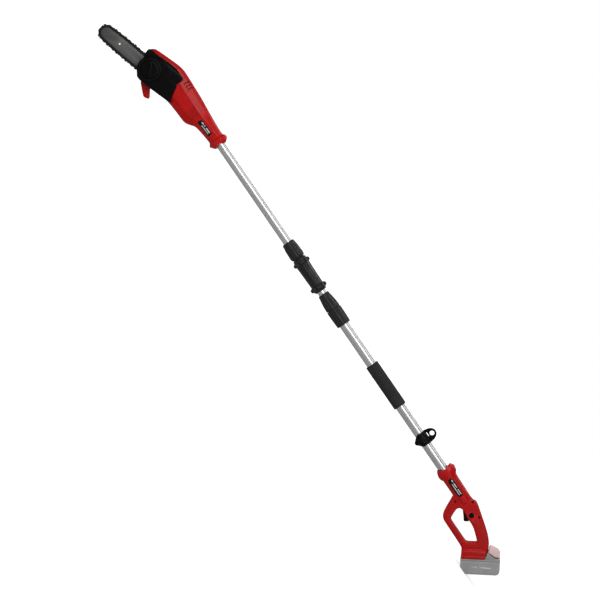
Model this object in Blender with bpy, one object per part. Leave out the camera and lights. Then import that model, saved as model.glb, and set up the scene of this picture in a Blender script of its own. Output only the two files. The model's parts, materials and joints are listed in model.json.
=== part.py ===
"""Telescoping cordless pole saw, modelled as the separate pieces it is assembled from.

Pole coordinates, in millimetres, are used for every shape:
u runs along the pole from the saw head (negative) to the handle (positive),
y runs across it, and h is the height above the pole's axis.
place() turns them into world metres with the ground at z = 0.
"""
import math

import bmesh
import bpy
import numpy as np
from mathutils import Matrix, Vector

# ---- driving dimensions, mm and degrees ----
MM = 0.001
GAP = 0.3                    # gap between pieces that touch
POLE_HEIGHT = 127.0          # pole axis over the ground
POLE_MIDDLE = 532.76         # u of the middle of the whole saw

UPPER_TUBE_R = 14.25         # head tube and inner tube, outside
LOWER_TUBE_R = 16.0          # outer tube, outside
TUBE_WALL = 1.5
LOWER_TUBE_WALL = 1.25       # thinner, so that the inner tube slides in it
UPPER_FIT_R = UPPER_TUBE_R + GAP
LOWER_FIT_R = LOWER_TUBE_R + GAP
HEAD_TUBE = (-60.0, 468.0)
INNER_TUBE = (472.0, 1190.0)
OUTER_TUBE = (606.0, 1338.0)

KNOB = (-316.2, -46.5)       # bar stud and cover knob axis (u, h)
BAR_TILT = 15.5              # bar slopes down to the front by this
BAR_Y = -14.0
BAR_THICKNESS = 4.0
NOSE_S = 178.0               # nose centre, from the knob along the bar
NOSE_R = 19.8
HANGING_HOLE_S = 125.0
SPROCKET_S = -71.0           # drive sprocket centre, along the bar
SPROCKET_PITCH_R = 18.2
CHAIN_RISE = 3.2             # rivet line over the bar's rail
CHAIN_HALF = 2.9             # links above the rivet line
CHAIN_INNER = 2.3            # links below it
CUTTER_RISE = 2.1            # cutters over the links
CHAIN_WIDTH = 6.4
CHAIN_STEPS = 66             # half pitches round the loop

MOTOR_TILT = 9.5
MOTOR_Y = 14.0
MOTOR_R = 18.5
CROWN_TEETH = 27
PINION_TEETH = 9
CROWN_R = 22.0
OIL_NECK = (-326.0, -26.0)   # axis of the tank's filler neck

SHELL_WALL = 2.5
COVER_INNER_Y = -9.4
COVER_FACE_Y = -33.0
SIDE_REACH = 48.0            # knob on one side, oil cap on the other
WING_TURN = -41.0            # how the knob's grip stands in the photographed state

DOCK_CORNER = (1475.6, -107.0)
DOCK_TILT = 53.0             # battery slides out along this slope
BATTERY_HALF_WIDTH = 39.0
CELL_R = 9.15
CELL_LENGTH = 65.0
CELL_STEP = 18.6

EYE = (1103.6, 34.1)         # harness eye
CLAMP_SCREW_Y = 25.4         # clamp screws stand this far to either side
TRIGGER_PIVOT = (1358.0, -13.0)
LOCK_BUTTON = (1382.6, -8.7)


# ---- coordinates ----
def place(point):
    u, y, h = point
    return Vector((u - POLE_MIDDLE, y, POLE_HEIGHT + h)) * MM


def bar_point(s, w):
    """A point s along the bar from the knob and w above its centre line."""
    tilt = math.radians(BAR_TILT)
    u = KNOB[0] - s * math.cos(tilt) - w * math.sin(tilt)
    h = KNOB[1] - s * math.sin(tilt) + w * math.cos(tilt)
    return (u, h)


def dock_point(a, d):
    """A point a up the dock's slope and d out from its face."""
    tilt = math.radians(DOCK_TILT)
    u = DOCK_CORNER[0] + a * math.cos(tilt) + d * math.sin(tilt)
    h = DOCK_CORNER[1] + a * math.sin(tilt) - d * math.cos(tilt)
    return (u, h)


SPROCKET = bar_point(SPROCKET_S, 0.0)
NOSE = bar_point(NOSE_S, 0.0)
MOTOR_AXIS = Vector((math.cos(math.radians(MOTOR_TILT)), 0.0, math.sin(math.radians(MOTOR_TILT))))
MOTOR_ORIGIN = Vector((SPROCKET[0], MOTOR_Y, SPROCKET[1]))
X_AXIS = Vector((1.0, 0.0, 0.0))
Y_AXIS = Vector((0.0, 1.0, 0.0))


# ---- materials ----
def material(name, colour, roughness, metallic=0.0):
    made = bpy.data.materials.new(name)
    made.use_nodes = True
    shader = made.node_tree.nodes["Principled BSDF"]
    shader.inputs["Base Color"].default_value = (*colour, 1.0)
    shader.inputs["Roughness"].default_value = roughness
    shader.inputs["Metallic"].default_value = metallic
    made.diffuse_color = (*colour, 1.0)
    return made


LOOKS = {
    "red": ((0.50, 0.012, 0.012), 0.38, 0.0),
    "black": ((0.012, 0.012, 0.013), 0.42, 0.0),
    "dark": ((0.028, 0.027, 0.026), 0.55, 0.0),
    "foam": ((0.020, 0.020, 0.021), 0.9, 0.0),
    "aluminium": ((0.62, 0.63, 0.64), 0.3, 1.0),
    "steel": ((0.42, 0.42, 0.43), 0.35, 1.0),
    "bar_steel": ((0.12, 0.12, 0.125), 0.4, 1.0),
    "chain_steel": ((0.03, 0.03, 0.032), 0.4, 1.0),
    "brass": ((0.60, 0.42, 0.16), 0.35, 1.0),
    "copper": ((0.62, 0.30, 0.18), 0.35, 1.0),
    "board": ((0.02, 0.16, 0.06), 0.5, 0.0),
    "grey": ((0.27, 0.27, 0.27), 0.5, 0.0),
    "pink": ((0.60, 0.28, 0.27), 0.5, 0.0),
    "cell": ((0.05, 0.22, 0.40), 0.4, 0.0),
    "tank": ((0.62, 0.62, 0.56), 0.35, 0.0),
}


# ---- shape helpers: each returns a bmesh in pole coordinates ----
def prism(outline, y0, y1):
    """An outline of (u, h) points, filled and drawn out from y0 to y1."""
    bm = bmesh.new()
    near = [bm.verts.new((u, y0, h)) for u, h in outline]
    far = [bm.verts.new((u, y1, h)) for u, h in outline]
    bm.faces.new(near)
    bm.faces.new(list(reversed(far)))
    for i in range(len(outline)):
        j = (i + 1) % len(outline)
        bm.faces.new((near[j], near[i], far[i], far[j]))
    bmesh.ops.recalc_face_normals(bm, faces=bm.faces)
    return bm


def block(u0, u1, y0, y1, h0, h1):
    return prism([(u0, h0), (u1, h0), (u1, h1), (u0, h1)], y0, y1)


def dock_prism(outline, y0, y1):
    return prism([dock_point(a, d) for a, d in outline], y0, y1)


def turned(profile, centre=(0.0, 0.0, 0.0), axis=X_AXIS, segments=24, ring=True, lobes=0):
    """A profile of (along, radius[, lobe depth]) turned about an axis.

    A ring profile is closed on itself; otherwise both ends close on the axis.
    """
    axis = Vector(axis).normalized()
    side = Vector((0.0, 1.0, 0.0)) if abs(axis.y) < 0.5 else Vector((0.0, 0.0, 1.0))
    up = axis.cross(side).normalized()
    side = up.cross(axis).normalized()
    bm = bmesh.new()
    rings = []
    for entry in profile:
        along, radius = entry[0], entry[1]
        depth = entry[2] if len(entry) > 2 else 0.0
        loop = []
        for k in range(segments):
            turn = 2.0 * math.pi * k / segments
            reach = radius - depth * (0.5 - 0.5 * math.cos(lobes * turn))
            offset = side * (reach * math.cos(turn)) + up * (reach * math.sin(turn))
            loop.append(bm.verts.new(Vector(centre) + axis * along + offset))
        rings.append(loop)
    pairs = list(zip(rings, rings[1:]))
    if ring:
        pairs.append((rings[-1], rings[0]))
    for lower, upper in pairs:
        for k in range(segments):
            j = (k + 1) % segments
            bm.faces.new((lower[k], lower[j], upper[j], upper[k]))
    if not ring:
        bm.faces.new(rings[0])
        bm.faces.new(list(reversed(rings[-1])))
    bmesh.ops.recalc_face_normals(bm, faces=bm.faces)
    return bm


def rod(centre, axis, start, end, radius, segments=16):
    return turned([(start, radius), (end, radius)], centre, axis, segments, ring=False)


def tube(start, end, outer, inner, segments=24):
    return turned([(start, outer), (end, outer), (end, inner), (start, inner)], segments=segments)


def gear(centre, y0, y1, tip, root, teeth, fill=0.45):
    """A flat toothed wheel on the y axis, as an outline drawn out."""
    outline = []
    for k in range(teeth):
        for part, radius in ((0.0, root), (0.15, tip), (fill, tip), (fill + 0.15, root)):
            turn = 2.0 * math.pi * (k + part) / teeth
            outline.append((centre[0] + radius * math.cos(turn), centre[1] + radius * math.sin(turn)))
    return prism(outline, y0, y1)


def loft(stations, points=16):
    """Stations of (u, top, bottom, near half width, far half width, squareness), skinned."""
    bm = bmesh.new()
    rings = []
    for u, top, bottom, near, far, square in stations:
        middle = 0.5 * (top + bottom)
        half = 0.5 * (top - bottom)
        loop = []
        for k in range(points):
            turn = 2.0 * math.pi * k / points
            c, s = math.cos(turn), math.sin(turn)
            width = far if c > 0 else near
            y = width * math.copysign(abs(c) ** (2.0 / square), c)
            h = middle + half * math.copysign(abs(s) ** (2.0 / square), s)
            loop.append(bm.verts.new((u, y, h)))
        rings.append(loop)
    for lower, upper in zip(rings, rings[1:]):
        for k in range(points):
            j = (k + 1) % points
            bm.faces.new((lower[k], lower[j], upper[j], upper[k]))
    bm.faces.new(rings[0])
    bm.faces.new(list(reversed(rings[-1])))
    bmesh.ops.recalc_face_normals(bm, faces=bm.faces)
    return bm


def scratch_object(bm):
    mesh = bpy.data.meshes.new("scratch")
    bm.to_mesh(mesh)
    bm.free()
    made = bpy.data.objects.new("scratch", mesh)
    bpy.context.scene.collection.objects.link(made)
    return made


def evaluated(made):
    """The object's mesh with its modifiers applied, as a bmesh; the object is removed."""
    bpy.context.view_layer.update()
    depsgraph = bpy.context.evaluated_depsgraph_get()
    mesh = bpy.data.meshes.new_from_object(made.evaluated_get(depsgraph))
    bm = bmesh.new()
    bm.from_mesh(mesh)
    bpy.data.meshes.remove(mesh)
    bpy.data.objects.remove(made)
    return bm


def combine(body, tool, operation):
    first = scratch_object(body)
    second = scratch_object(tool)
    step = first.modifiers.new("combine", "BOOLEAN")
    step.operation = operation
    step.solver = "EXACT"
    step.object = second
    result = evaluated(first)
    bpy.data.objects.remove(second)
    bmesh.ops.dissolve_degenerate(result, dist=1e-4, edges=result.edges)
    return result


def cut(body, *tools):
    for tool in tools:
        body = combine(body, tool, "DIFFERENCE")
    return body


def join(body, *tools):
    for tool in tools:
        body = combine(body, tool, "UNION")
    return body


def bevelled(bm, width, segments=1, angle=40.0):
    """Bevel the edges that turn by more than the angle."""
    made = scratch_object(bm)
    step = made.modifiers.new("bevel", "BEVEL")
    step.width = width
    step.segments = segments
    step.limit_method = "ANGLE"
    step.angle_limit = math.radians(angle)
    step.use_clamp_overlap = True
    return evaluated(made)


def add(name, bm, look, pivot=(0.0, 0.0, 0.0)):
    """Make the piece's object with its origin at the pivot, in pole coordinates."""
    origin = place(pivot)
    for vert in bm.verts:
        vert.co = place(vert.co) - origin
    mesh = bpy.data.meshes.new(name)
    bm.to_mesh(mesh)
    bm.free()
    mesh.materials.append(MATERIALS[look])
    mesh.shade_smooth()
    mesh.set_sharp_from_angle(angle=math.radians(35.0))
    made = bpy.data.objects.new(name, mesh)
    made.location = origin
    bpy.context.scene.collection.objects.link(made)
    return made


# ---- pole ----
def make_tubes():
    wall = UPPER_TUBE_R - TUBE_WALL
    add("head_tube", tube(*HEAD_TUBE, UPPER_TUBE_R, wall), "aluminium")
    add("inner_tube", tube(*INNER_TUBE, UPPER_TUBE_R, wall), "aluminium", (INNER_TUBE[0], 0, 0))
    add("outer_tube", tube(*OUTER_TUBE, LOWER_TUBE_R, LOWER_TUBE_R - LOWER_TUBE_WALL), "aluminium")
    end = INNER_TUBE[1]
    bush = [(end - 14, wall - GAP), (end + GAP, wall - GAP), (end + GAP, 14.5), (end + 6, 14.5),
            (end + 6, 9.0), (end - 14, 9.0)]
    add("guide_bush", turned(bush, segments=20), "dark")


def make_cables():
    add("head_cable", rod((0, 0, 0), X_AXIS, HEAD_TUBE[0] + 2, 438.0, 3.0, 10), "black")
    add("pole_cable", rod((0, 0, 0), X_AXIS, 502.0, 1198.0, 3.0, 10), "black")
    add("coiled_cable", rod((0, 0, 0), X_AXIS, 1200.0, 1330.0, 11.5, 16), "black")
    add("connector_plug", rod((0, 0, 0), X_AXIS, 440.0, 469.8, 12.4, 16), "dark")
    add("connector_socket", rod((0, 0, 0), X_AXIS, 472.6, 500.0, 12.4, 16), "dark")


def make_union():
    """The screwed union that joins the head tube to the telescoping pole."""
    collar = [(364, 16.5), (366, 20), (378, 20.6), (383, 23), (413, 23.75), (418, 22.8), (421.5, 21),
              (423.5, 20), (423.8, 17.5), (470, 17.5), (470, UPPER_FIT_R), (364, UPPER_FIT_R)]
    add("union_collar", turned(collar, segments=20), "dark")
    ferrule = [(472, UPPER_FIT_R), (472, 17.4), (484, 17.4), (484, UPPER_FIT_R)]
    add("union_ferrule", turned(ferrule, segments=20), "steel")
    nut = [(424.7, 19.5), (427, 21.5), (432.5, 22.3), (434.5, 28.5, 5), (445.5, 28.5, 5),
           (447.5, 22.3, 2), (525, 20.5, 2), (527.5, 28, 5), (538.5, 28, 5), (540.5, 20.3),
           (547, 18), (547, UPPER_FIT_R), (486, UPPER_FIT_R), (486, 17.8), (424.7, 17.8)]
    add("coupling_nut", turned(nut, segments=24, lobes=8), "dark", (485, 0, 0))


def make_telescope_clamp():
    nut = [(558, 16.5), (560, 18), (575, 19.4, 1), (590, 22, 1), (611, 23.5, 1), (613.8, 22.4),
           (613.8, 19.8), (585, 19.8), (568, 16.6), (567, 14.6), (558, 14.6)]
    add("clamp_nut", turned(nut, segments=24, lobes=8), "dark", (586, 0, 0))
    collet = [(569, 14.55), (569, 16.2), (583.8, 18.6), (583.8, 14.55)]
    add("clamp_collet", turned(collet, segments=20), "dark")
    base = [(585, 19.5), (614.1, 19.5), (615.4, 23), (618, 24.5, 1.2), (667, 23, 1.2), (672.7, 21),
            (672.7, LOWER_FIT_R), (605.6, LOWER_FIT_R), (605.6, 14.6), (585, 14.6)]
    add("clamp_base", turned(base, segments=24, lobes=12), "dark")


def make_foam_grip():
    foam = [(823, LOWER_FIT_R), (823, 19), (825.5, 21), (977, 21), (979.6, 19), (979.6, LOWER_FIT_R)]
    add("foam_grip", turned(foam), "foam")


def make_harness_clamp():
    """A split clamp that slides on the outer tube and carries the harness eye."""
    middle = EYE[0]
    half_widths = [(23, 6), (21, 20), (19.5, 30), (15.5, 39), (8.5, 46)]
    lug = [(middle - half, h) for half, h in half_widths]
    lug += [(middle, 48.1)]
    lug += [(middle + half, h) for half, h in reversed(half_widths)]
    upper = join(tube(middle - 21, middle + 21, 22, 10), prism(lug, -5, 5),
                 block(middle - 9, middle + 9, -29, 29, -3, 6))
    lower_half = block(middle - 60, middle + 60, -60, 60, -60, 0.2)
    eye = rod((middle, 0, EYE[1]), Y_AXIS, -10, 10, 7.5)
    slot = block(middle - 12, middle + 3, -10, 10, 17.3, 22.6)
    bore = rod((middle, 0, 0), X_AXIS, -40, 40, LOWER_FIT_R, 28)
    holes = [rod((middle, side * CLAMP_SCREW_Y, 0), (0, 0, 1), -9, 9, 2.4, 12) for side in (-1, 1)]
    pivot = (middle, 0, 0)
    add("harness_clamp_upper", cut(upper, lower_half, bore, eye, slot, *holes), "dark", pivot)
    lobe = [(middle - 17, -12), (middle - 3, -29), (middle + 3, -29), (middle + 17, -12)]
    lower = join(tube(middle - 21, middle + 21, 22, 10), prism(lobe, -6, 6),
                 block(middle - 9, middle + 9, -29, 29, -6, 3))
    for side in (-1, 1):
        corner = [(middle + side * 22, -7), (middle + side * 22, -30), (middle + side * 4, -30)]
        lower = cut(lower, prism(corner, -40, 40))
    upper_half = block(middle - 60, middle + 60, -60, 60, -0.2, 60)
    bore = rod((middle, 0, 0), X_AXIS, -40, 40, LOWER_FIT_R, 28)
    holes = [rod((middle, side * CLAMP_SCREW_Y, 0), (0, 0, 1), -9, 9, 2.4, 12) for side in (-1, 1)]
    add("harness_clamp_lower", cut(lower, upper_half, bore, *holes), "dark", pivot)
    for name, side in (("left", -1), ("right", 1)):
        profile = [(-8, 2.0), (6.3, 2.0), (6.3, 3.4), (9.2, 3.4)]
        screw = turned(profile, (middle, side * CLAMP_SCREW_Y, 0), (0, 0, 1), 12, ring=False)
        add("harness_screw_" + name, screw, "steel", pivot)


# ---- saw head ----
HEAD_TOP = [(-371, -13), (-366, -3), (-359.6, 3.1), (-320, 18), (-279, 32.6), (-257, 37.2), (-217, 35.7),
            (-155, 32.6), (-108.5, 27.9), (-46.5, 23.6), (-26, 23.6), (-21.7, 29.5), (-15.5, 31),
            (-5, 24), (0, 17.5)]
HEAD_BOTTOM = [(-371, -20), (-366, -31), (-353.4, -46.5), (-341, -74.4), (-334.8, -83.7), (-322.4, -91),
               (-310, -91.5), (-272.8, -80.6), (-232.5, -66.7), (-210.8, -58.9), (-155, -55.2),
               (-127, -54.3), (-114.7, -49.6), (-102.3, -40.3), (-93, -32.6), (-62, -28), (-26, -24.8),
               (-21.7, -28), (-15.5, -32.6), (-5, -26), (0, -20)]
HEAD_FAR = [(-371, 12), (-360, 24), (-340, 33), (-310, 37), (-150, 38), (-128, 37), (-100, 28), (-60, 24),
            (-26, 23), (-21.7, 27), (-15.5, 28), (-5, 23), (0, 18)]
HEAD_NEAR = [(-371, 12), (-355, 22), (-310, 27), (-150, 28), (-100, 25), (-60, 24), (-26, 23),
             (-21.7, 27), (-15.5, 28), (-5, 23), (0, 18)]
HEAD_STATIONS = (-371, -366, -360, -353, -341, -334, -322, -310, -290, -272, -257, -232, -211, -186, -155,
                 -127, -114, -102, -93, -62, -26, -21.7, -15.5, -5, 0)
COVER_OUTLINE = [(-371.5, -15.5), (-365.8, -31), (-353.4, -46.5), (-347, -60), (-341, -74.4),
                 (-334.8, -83.7), (-322.4, -91.5), (-310, -91.5), (-272.8, -80.6), (-232.5, -66.7),
                 (-210.8, -58.9), (-195.3, -55.8), (-204.6, -43.4), (-226.3, -9.3), (-232.5, -3.1),
                 (-231, 15.5), (-236, 21.7), (-272.8, 21.7), (-303.8, 12.4), (-334.8, 0), (-368, -9)]


def table(points, u):
    return float(np.interp(u, [p[0] for p in points], [p[1] for p in points]))


def head_station(u, inset=0.0):
    square = float(np.interp(u, [-300, -110, -60], [3.4, 3.0, 2.2]))
    return (u, table(HEAD_TOP, u) - inset, table(HEAD_BOTTOM, u) + inset,
            table(HEAD_NEAR, u) - inset, table(HEAD_FAR, u) - inset, square)


def shifted(outline, distance):
    """The outline moved out by the distance (in, if negative), corner by corner."""
    area = sum(a[0] * b[1] - b[0] * a[1] for a, b in zip(outline, outline[1:] + outline[:1]))
    sign = 1.0 if area > 0 else -1.0
    result = []
    for i, point in enumerate(outline):
        before = Vector(outline[i - 1])
        here = Vector(point)
        after = Vector(outline[(i + 1) % len(outline)])
        first = (here - before).normalized()
        second = (after - here).normalized()
        normal_1 = Vector((first.y, -first.x)) * sign
        normal_2 = Vector((second.y, -second.x)) * sign
        mitre = (normal_1 + normal_2).normalized()
        reach = distance / max(0.5, mitre.dot(normal_1))
        moved = here + mitre * reach
        result.append((moved.x, moved.y))
    return result


HOOK = [(-270, -72), (-272.8, -80.6), (-251, -97.5), (-247.5, -101), (-247.8, -104.5), (-256, -110.6),
        (-261, -112), (-266, -111.2), (-311, -91.5), (-300, -78)]
HEAD_SCREWS = {"head_screw_upper": (-146, 23), "head_screw_lower": (-150, -46)}


def head_cavities():
    """The hollows inside the head: behind the bar, behind the label, and the far side."""
    stations = [u for u in HEAD_STATIONS if -366 < u < -57]
    far = loft([head_station(u, SHELL_WALL) for u in stations])
    far = cut(far, block(-400, 50, -80, -0.5, -150, 150))
    behind_bar = []
    for u in (-353, -341, -322, -290, -257, -232, -190):
        behind_bar.append((u, table(HEAD_TOP, u) - 4))
    for u in (-190, -232, -272, -310, -322, -334, -346):
        behind_bar.append((u, table(HEAD_BOTTOM, u) + 4))
    near = prism(behind_bar, COVER_INNER_Y + SHELL_WALL + GAP, 0.5)
    back = loft([head_station(u, SHELL_WALL) for u in (-192, -186, -155, -127, -114, -102, -93, -62)])
    back = cut(back, block(-400, 50, 0.5, 80, -150, 150))
    bore = rod((0, 0, 0), X_AXIS, -64, 5, UPPER_FIT_R, 24)
    return [far, near, back, bore]


def make_head_shells():
    body = loft([head_station(u) for u in HEAD_STATIONS])
    body = join(body, prism(HOOK, -7, 7))
    pocket = prism(shifted(COVER_OUTLINE, 0.5), -60, COVER_INNER_Y + GAP)
    outside = body.copy()
    body = cut(body, pocket, *head_cavities())
    for u, h in HEAD_SCREWS.values():
        pillar = combine(rod((u, 0, h), Y_AXIS, -60, 60, 4.5, 10), outside.copy(), "INTERSECT")
        body = join(body, pillar)
    shaft_hole = rod((SPROCKET[0], 0, SPROCKET[1]), Y_AXIS, -20, -1, 11.3, 20)
    stud_hole = rod((KNOB[0], 0, KNOB[1]), Y_AXIS, -20, -1, 4.3, 12)
    neck_hole = rod((OIL_NECK[0], 0, OIL_NECK[1]), Y_AXIS, 25, 60, 11.4, 20)
    body = cut(body, shaft_hole, stud_hole, neck_hole)
    for u, h in HEAD_SCREWS.values():
        body = cut(body, rod((u, 0, h), Y_AXIS, -3, 60, 1.9, 10))
        body = cut(body, rod((u, 0, h), Y_AXIS, 18, 60, 3.9, 10))
    far = body.copy()
    near_half = cut(body, block(-450, 50, -0.15, 90, -200, 200))
    far_half = cut(far, block(-450, 50, -90, 0.15, -200, 200))
    add("head_shell_left", near_half, "red")
    add("head_shell_right", far_half, "red")
    for name, (u, h) in HEAD_SCREWS.items():
        profile = [(-2.7, 1.6), (18.3, 1.6), (18.3, 3.6), (21, 3.6)]
        add(name, turned(profile, (u, 0, h), Y_AXIS, 10, ring=False), "steel")


def make_chain_cover():
    body = bevelled(prism(COVER_OUTLINE, COVER_FACE_Y, COVER_INNER_Y), 3.0, 2, 60)
    boss = turned([(-36.0, 39.5), (-34.0, 41.0), (-20.0, 41.0)], (KNOB[0], 0, KNOB[1]), Y_AXIS, 32,
                  ring=False)
    body = join(body, boss)
    hollow = prism(shifted(COVER_OUTLINE, -SHELL_WALL), COVER_FACE_Y + SHELL_WALL, 0)
    run = [bar_point(s, w) for s, w in ((10, 33), (110, 33), (110, -33), (10, -33))]
    slot = prism(run, -21.5, 0)
    stud = rod((KNOB[0], 0, KNOB[1]), Y_AXIS, -60, 0, 4.6, 12)
    trim = rod((KNOB[0], 0, KNOB[1]), Y_AXIS, COVER_INNER_Y, 0, 60, 12)
    add("chain_cover", cut(body, hollow, slot, stud, trim), "black")


def turned_points(points, degrees):
    return [Matrix.Rotation(math.radians(degrees), 2) @ Vector(point) for point in points]


def make_cover_knob():
    centre = (KNOB[0], 0, KNOB[1])
    ring = [(-42.0, 30.5), (-42.0, 35.5, 1.2), (-40.5, 37, 1.2), (-36.3, 37, 1.2), (-36.3, 30.5)]
    add("tension_ring", turned(ring, centre, Y_AXIS, 24, lobes=12), "black", centre)
    knob = turned([(-43.5, 26.5), (-42.0, 28), (-36.3, 28)], centre, Y_AXIS, 28, ring=False)
    wing = [(-24, -5), (0, -8), (24, -5), (24, 5), (0, 8), (-24, 5)]
    wing = [(KNOB[0] + point.x, KNOB[1] + point.y) for point in turned_points(wing, WING_TURN)]
    knob = join(knob, prism(wing, -SIDE_REACH, -40))
    knob = cut(knob, rod(centre, Y_AXIS, -41, 0, 4.6, 12))
    add("cover_knob", knob, "black", centre)
    stud = [(-40.3, 3.6), (-39.5, 4.0), (-2.0, 4.0), (-2.0, 7.5), (3.5, 7.5)]
    add("bar_stud", turned(stud, centre, Y_AXIS, 12, ring=False), "steel")


def bar_half_width(s):
    return float(np.interp(s, [-47, -40, 0, 60, 100, 140, NOSE_S], [17, 19, 20.8, 22.3, 22.5, 21.8, NOSE_R]))


def make_guide_bar():
    upper = [(s, bar_half_width(s)) for s in (-47, -40, 0, 60, 100, 140)]
    nose = []
    for k in range(15):
        turn = math.radians(82.0 - 164.0 * k / 14.0)
        nose.append((NOSE_S + NOSE_R * math.cos(turn), NOSE_R * math.sin(turn)))
    lower = [(s, -w) for s, w in reversed(upper)]
    outline = [bar_point(s, w) for s, w in upper + nose + lower]
    half = BAR_THICKNESS / 2
    body = prism(outline, BAR_Y - half, BAR_Y + half)
    slot = prism([bar_point(s, w) for s, w in ((-24, 4.4), (28, 4.4), (28, -4.4), (-24, -4.4))], -30, 0)
    hole = bar_point(HANGING_HOLE_S, 0)
    nose_gap = rod((NOSE[0], BAR_Y, NOSE[1]), Y_AXIS, -0.9, 0.9, NOSE_R + 1, 28)
    hanging_hole = rod((hole[0], 0, hole[1]), Y_AXIS, -30, 0, 2.6, 12)
    nose_gap = cut(nose_gap, rod((NOSE[0], BAR_Y, NOSE[1]), Y_AXIS, -2, 2, 3.0, 12))
    add("guide_bar", cut(body, slot, hanging_hole, nose_gap), "bar_steel")
    wheel = gear(NOSE, BAR_Y - 0.6, BAR_Y + 0.6, 18.2, 14.5, 10)
    wheel = cut(wheel, rod((NOSE[0], BAR_Y, NOSE[1]), Y_AXIS, -2, 2, 3.4, 12))
    add("nose_sprocket", wheel, "steel", (NOSE[0], BAR_Y, NOSE[1]))


def chain_path():
    """The rivet line round bar and sprocket, as evenly spaced (s, w) points."""
    side = [(s, bar_half_width(s) + CHAIN_RISE) for s in (-40, 0, 60, 100, 140)]
    nose = []
    for k in range(25):
        turn = math.radians(84.0 - 168.0 * k / 24.0)
        reach = NOSE_R + CHAIN_RISE
        nose.append((NOSE_S + reach * math.cos(turn), reach * math.sin(turn)))
    drive = []
    for k in range(25):
        turn = math.radians(263.0 - 166.0 * k / 24.0)
        drive.append((SPROCKET_S + SPROCKET_PITCH_R * math.cos(turn), SPROCKET_PITCH_R * math.sin(turn)))
    corners = side + nose + [(s, -w) for s, w in reversed(side)] + drive
    closed = np.array(corners + corners[:1])
    lengths = np.hypot(*np.diff(closed, axis=0).T)
    walked = np.concatenate([[0.0], np.cumsum(lengths)])
    even = np.linspace(0.0, walked[-1], CHAIN_STEPS, endpoint=False)
    return np.column_stack([np.interp(even, walked, closed[:, k]) for k in (0, 1)])


def make_saw_chain():
    """One toothed band: links, with a cutter every fourth half pitch."""
    path = chain_path()
    ahead = np.roll(path, -1, axis=0) - np.roll(path, 1, axis=0)
    ahead = ahead / np.hypot(ahead[:, 0], ahead[:, 1])[:, None]
    outward = np.column_stack([-ahead[:, 1], ahead[:, 0]])
    outer = []
    for k in range(CHAIN_STEPS):
        rise = CHAIN_HALF + (CUTTER_RISE if k % 4 in (0, 1) else 0.0)
        outer.append(bar_point(*(path[k] + outward[k] * rise)))
    inner = [bar_point(*(path[k] - outward[k] * CHAIN_INNER)) for k in range(CHAIN_STEPS)]
    bm = bmesh.new()
    y0, y1 = BAR_Y - CHAIN_WIDTH / 2, BAR_Y + CHAIN_WIDTH / 2
    loops = []
    for points, y in ((outer, y0), (outer, y1), (inner, y1), (inner, y0)):
        loops.append([bm.verts.new((u, y, h)) for u, h in points])
    for i in range(4):
        first, second = loops[i], loops[(i + 1) % 4]
        for k in range(CHAIN_STEPS):
            j = (k + 1) % CHAIN_STEPS
            bm.faces.new((first[k], first[j], second[j], second[k]))
    bmesh.ops.recalc_face_normals(bm, faces=bm.faces)
    add("saw_chain", bm, "chain_steel")


def make_drive():
    centre = (SPROCKET[0], 0, SPROCKET[1])
    wheel = gear(SPROCKET, -17.2, -10.8, 14.2, 11.0, 6)
    wheel = cut(wheel, rod(centre, Y_AXIS, -30, 0, 5.3, 12))
    add("drive_sprocket", wheel, "steel", centre)
    shaft = [(-19.5, 5.0), (0.7, 5.0), (24.0, 5.0)]
    add("sprocket_shaft", turned(shaft, centre, Y_AXIS, 16, ring=False), "steel", centre)
    front = turned([(-8.4, 5.3), (-8.4, 11), (-1.6, 11), (-1.6, 5.3)], centre, Y_AXIS, 20)
    rear = turned([(18, 5.3), (18, 9.5), (24.5, 9.5), (24.5, 5.3)], centre, Y_AXIS, 20)
    add("bearing_near", front, "steel")
    add("bearing_far", rear, "steel")
    crown = turned([(1.0, 5.3), (1.0, CROWN_R + 1), (4.5, CROWN_R + 1), (4.5, 9), (8.5, 9), (8.5, 5.3)],
                   centre, Y_AXIS, 27)
    for k in range(CROWN_TEETH):
        tooth = block(CROWN_R - 6, CROWN_R + 0.6, 4.0, 7.6, -0.6, 0.6)
        turn = 2 * math.pi * k / CROWN_TEETH - math.radians(MOTOR_TILT)
        bmesh.ops.rotate(tooth, verts=tooth.verts, cent=(0, 0, 0), matrix=Matrix.Rotation(turn, 3, "Y"))
        bmesh.ops.translate(tooth, verts=tooth.verts, vec=centre)
        crown = join(crown, tooth)
    add("crown_gear", crown, "steel", centre)
    plate = [(-345, -55), (-330, -70), (-300, -74), (-262, -66), (-225, -50), (-222, -10), (-240, 8),
             (-270, 4), (-330, -24), (-345, -38)]
    front_plate = prism(plate, -6.3, -2.3)
    stud = rod((KNOB[0], 0, KNOB[1]), Y_AXIS, -20, 5, 4.3, 12)
    bearing = rod(centre, Y_AXIS, -20, 5, 11.3, 20)
    add("bar_mount_plate", cut(front_plate, stud, bearing), "aluminium")
    add("bearing_bridge", bearing_bridge(centre), "aluminium")


def bearing_bridge(centre):
    """Two pillars and a cross plate that hold the shaft's far bearing."""
    tilt = math.radians(MOTOR_TILT)
    across = Vector((-math.sin(tilt), 0, math.cos(tilt)))
    along = MOTOR_AXIS
    corners = []
    for a, b in ((-10, -29.5), (10, -29.5), (10, 31), (-10, 31)):
        point = Vector(centre) + along * a + across * b
        corners.append((point.x, point.z))
    body = prism(corners, 25.0, 28.0)
    body = join(body, turned([(18, 9.8), (18, 12.5), (26, 12.5), (26, 9.8)], centre, Y_AXIS, 20))
    for b in (-26.6, 27.5):
        foot = Vector(centre) + across * b
        body = join(body, rod(foot, Y_AXIS, -2.0, 26, 3.0, 8))
    return cut(body, rod(centre, Y_AXIS, 24.7, 40, 5.5, 12))


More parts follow.
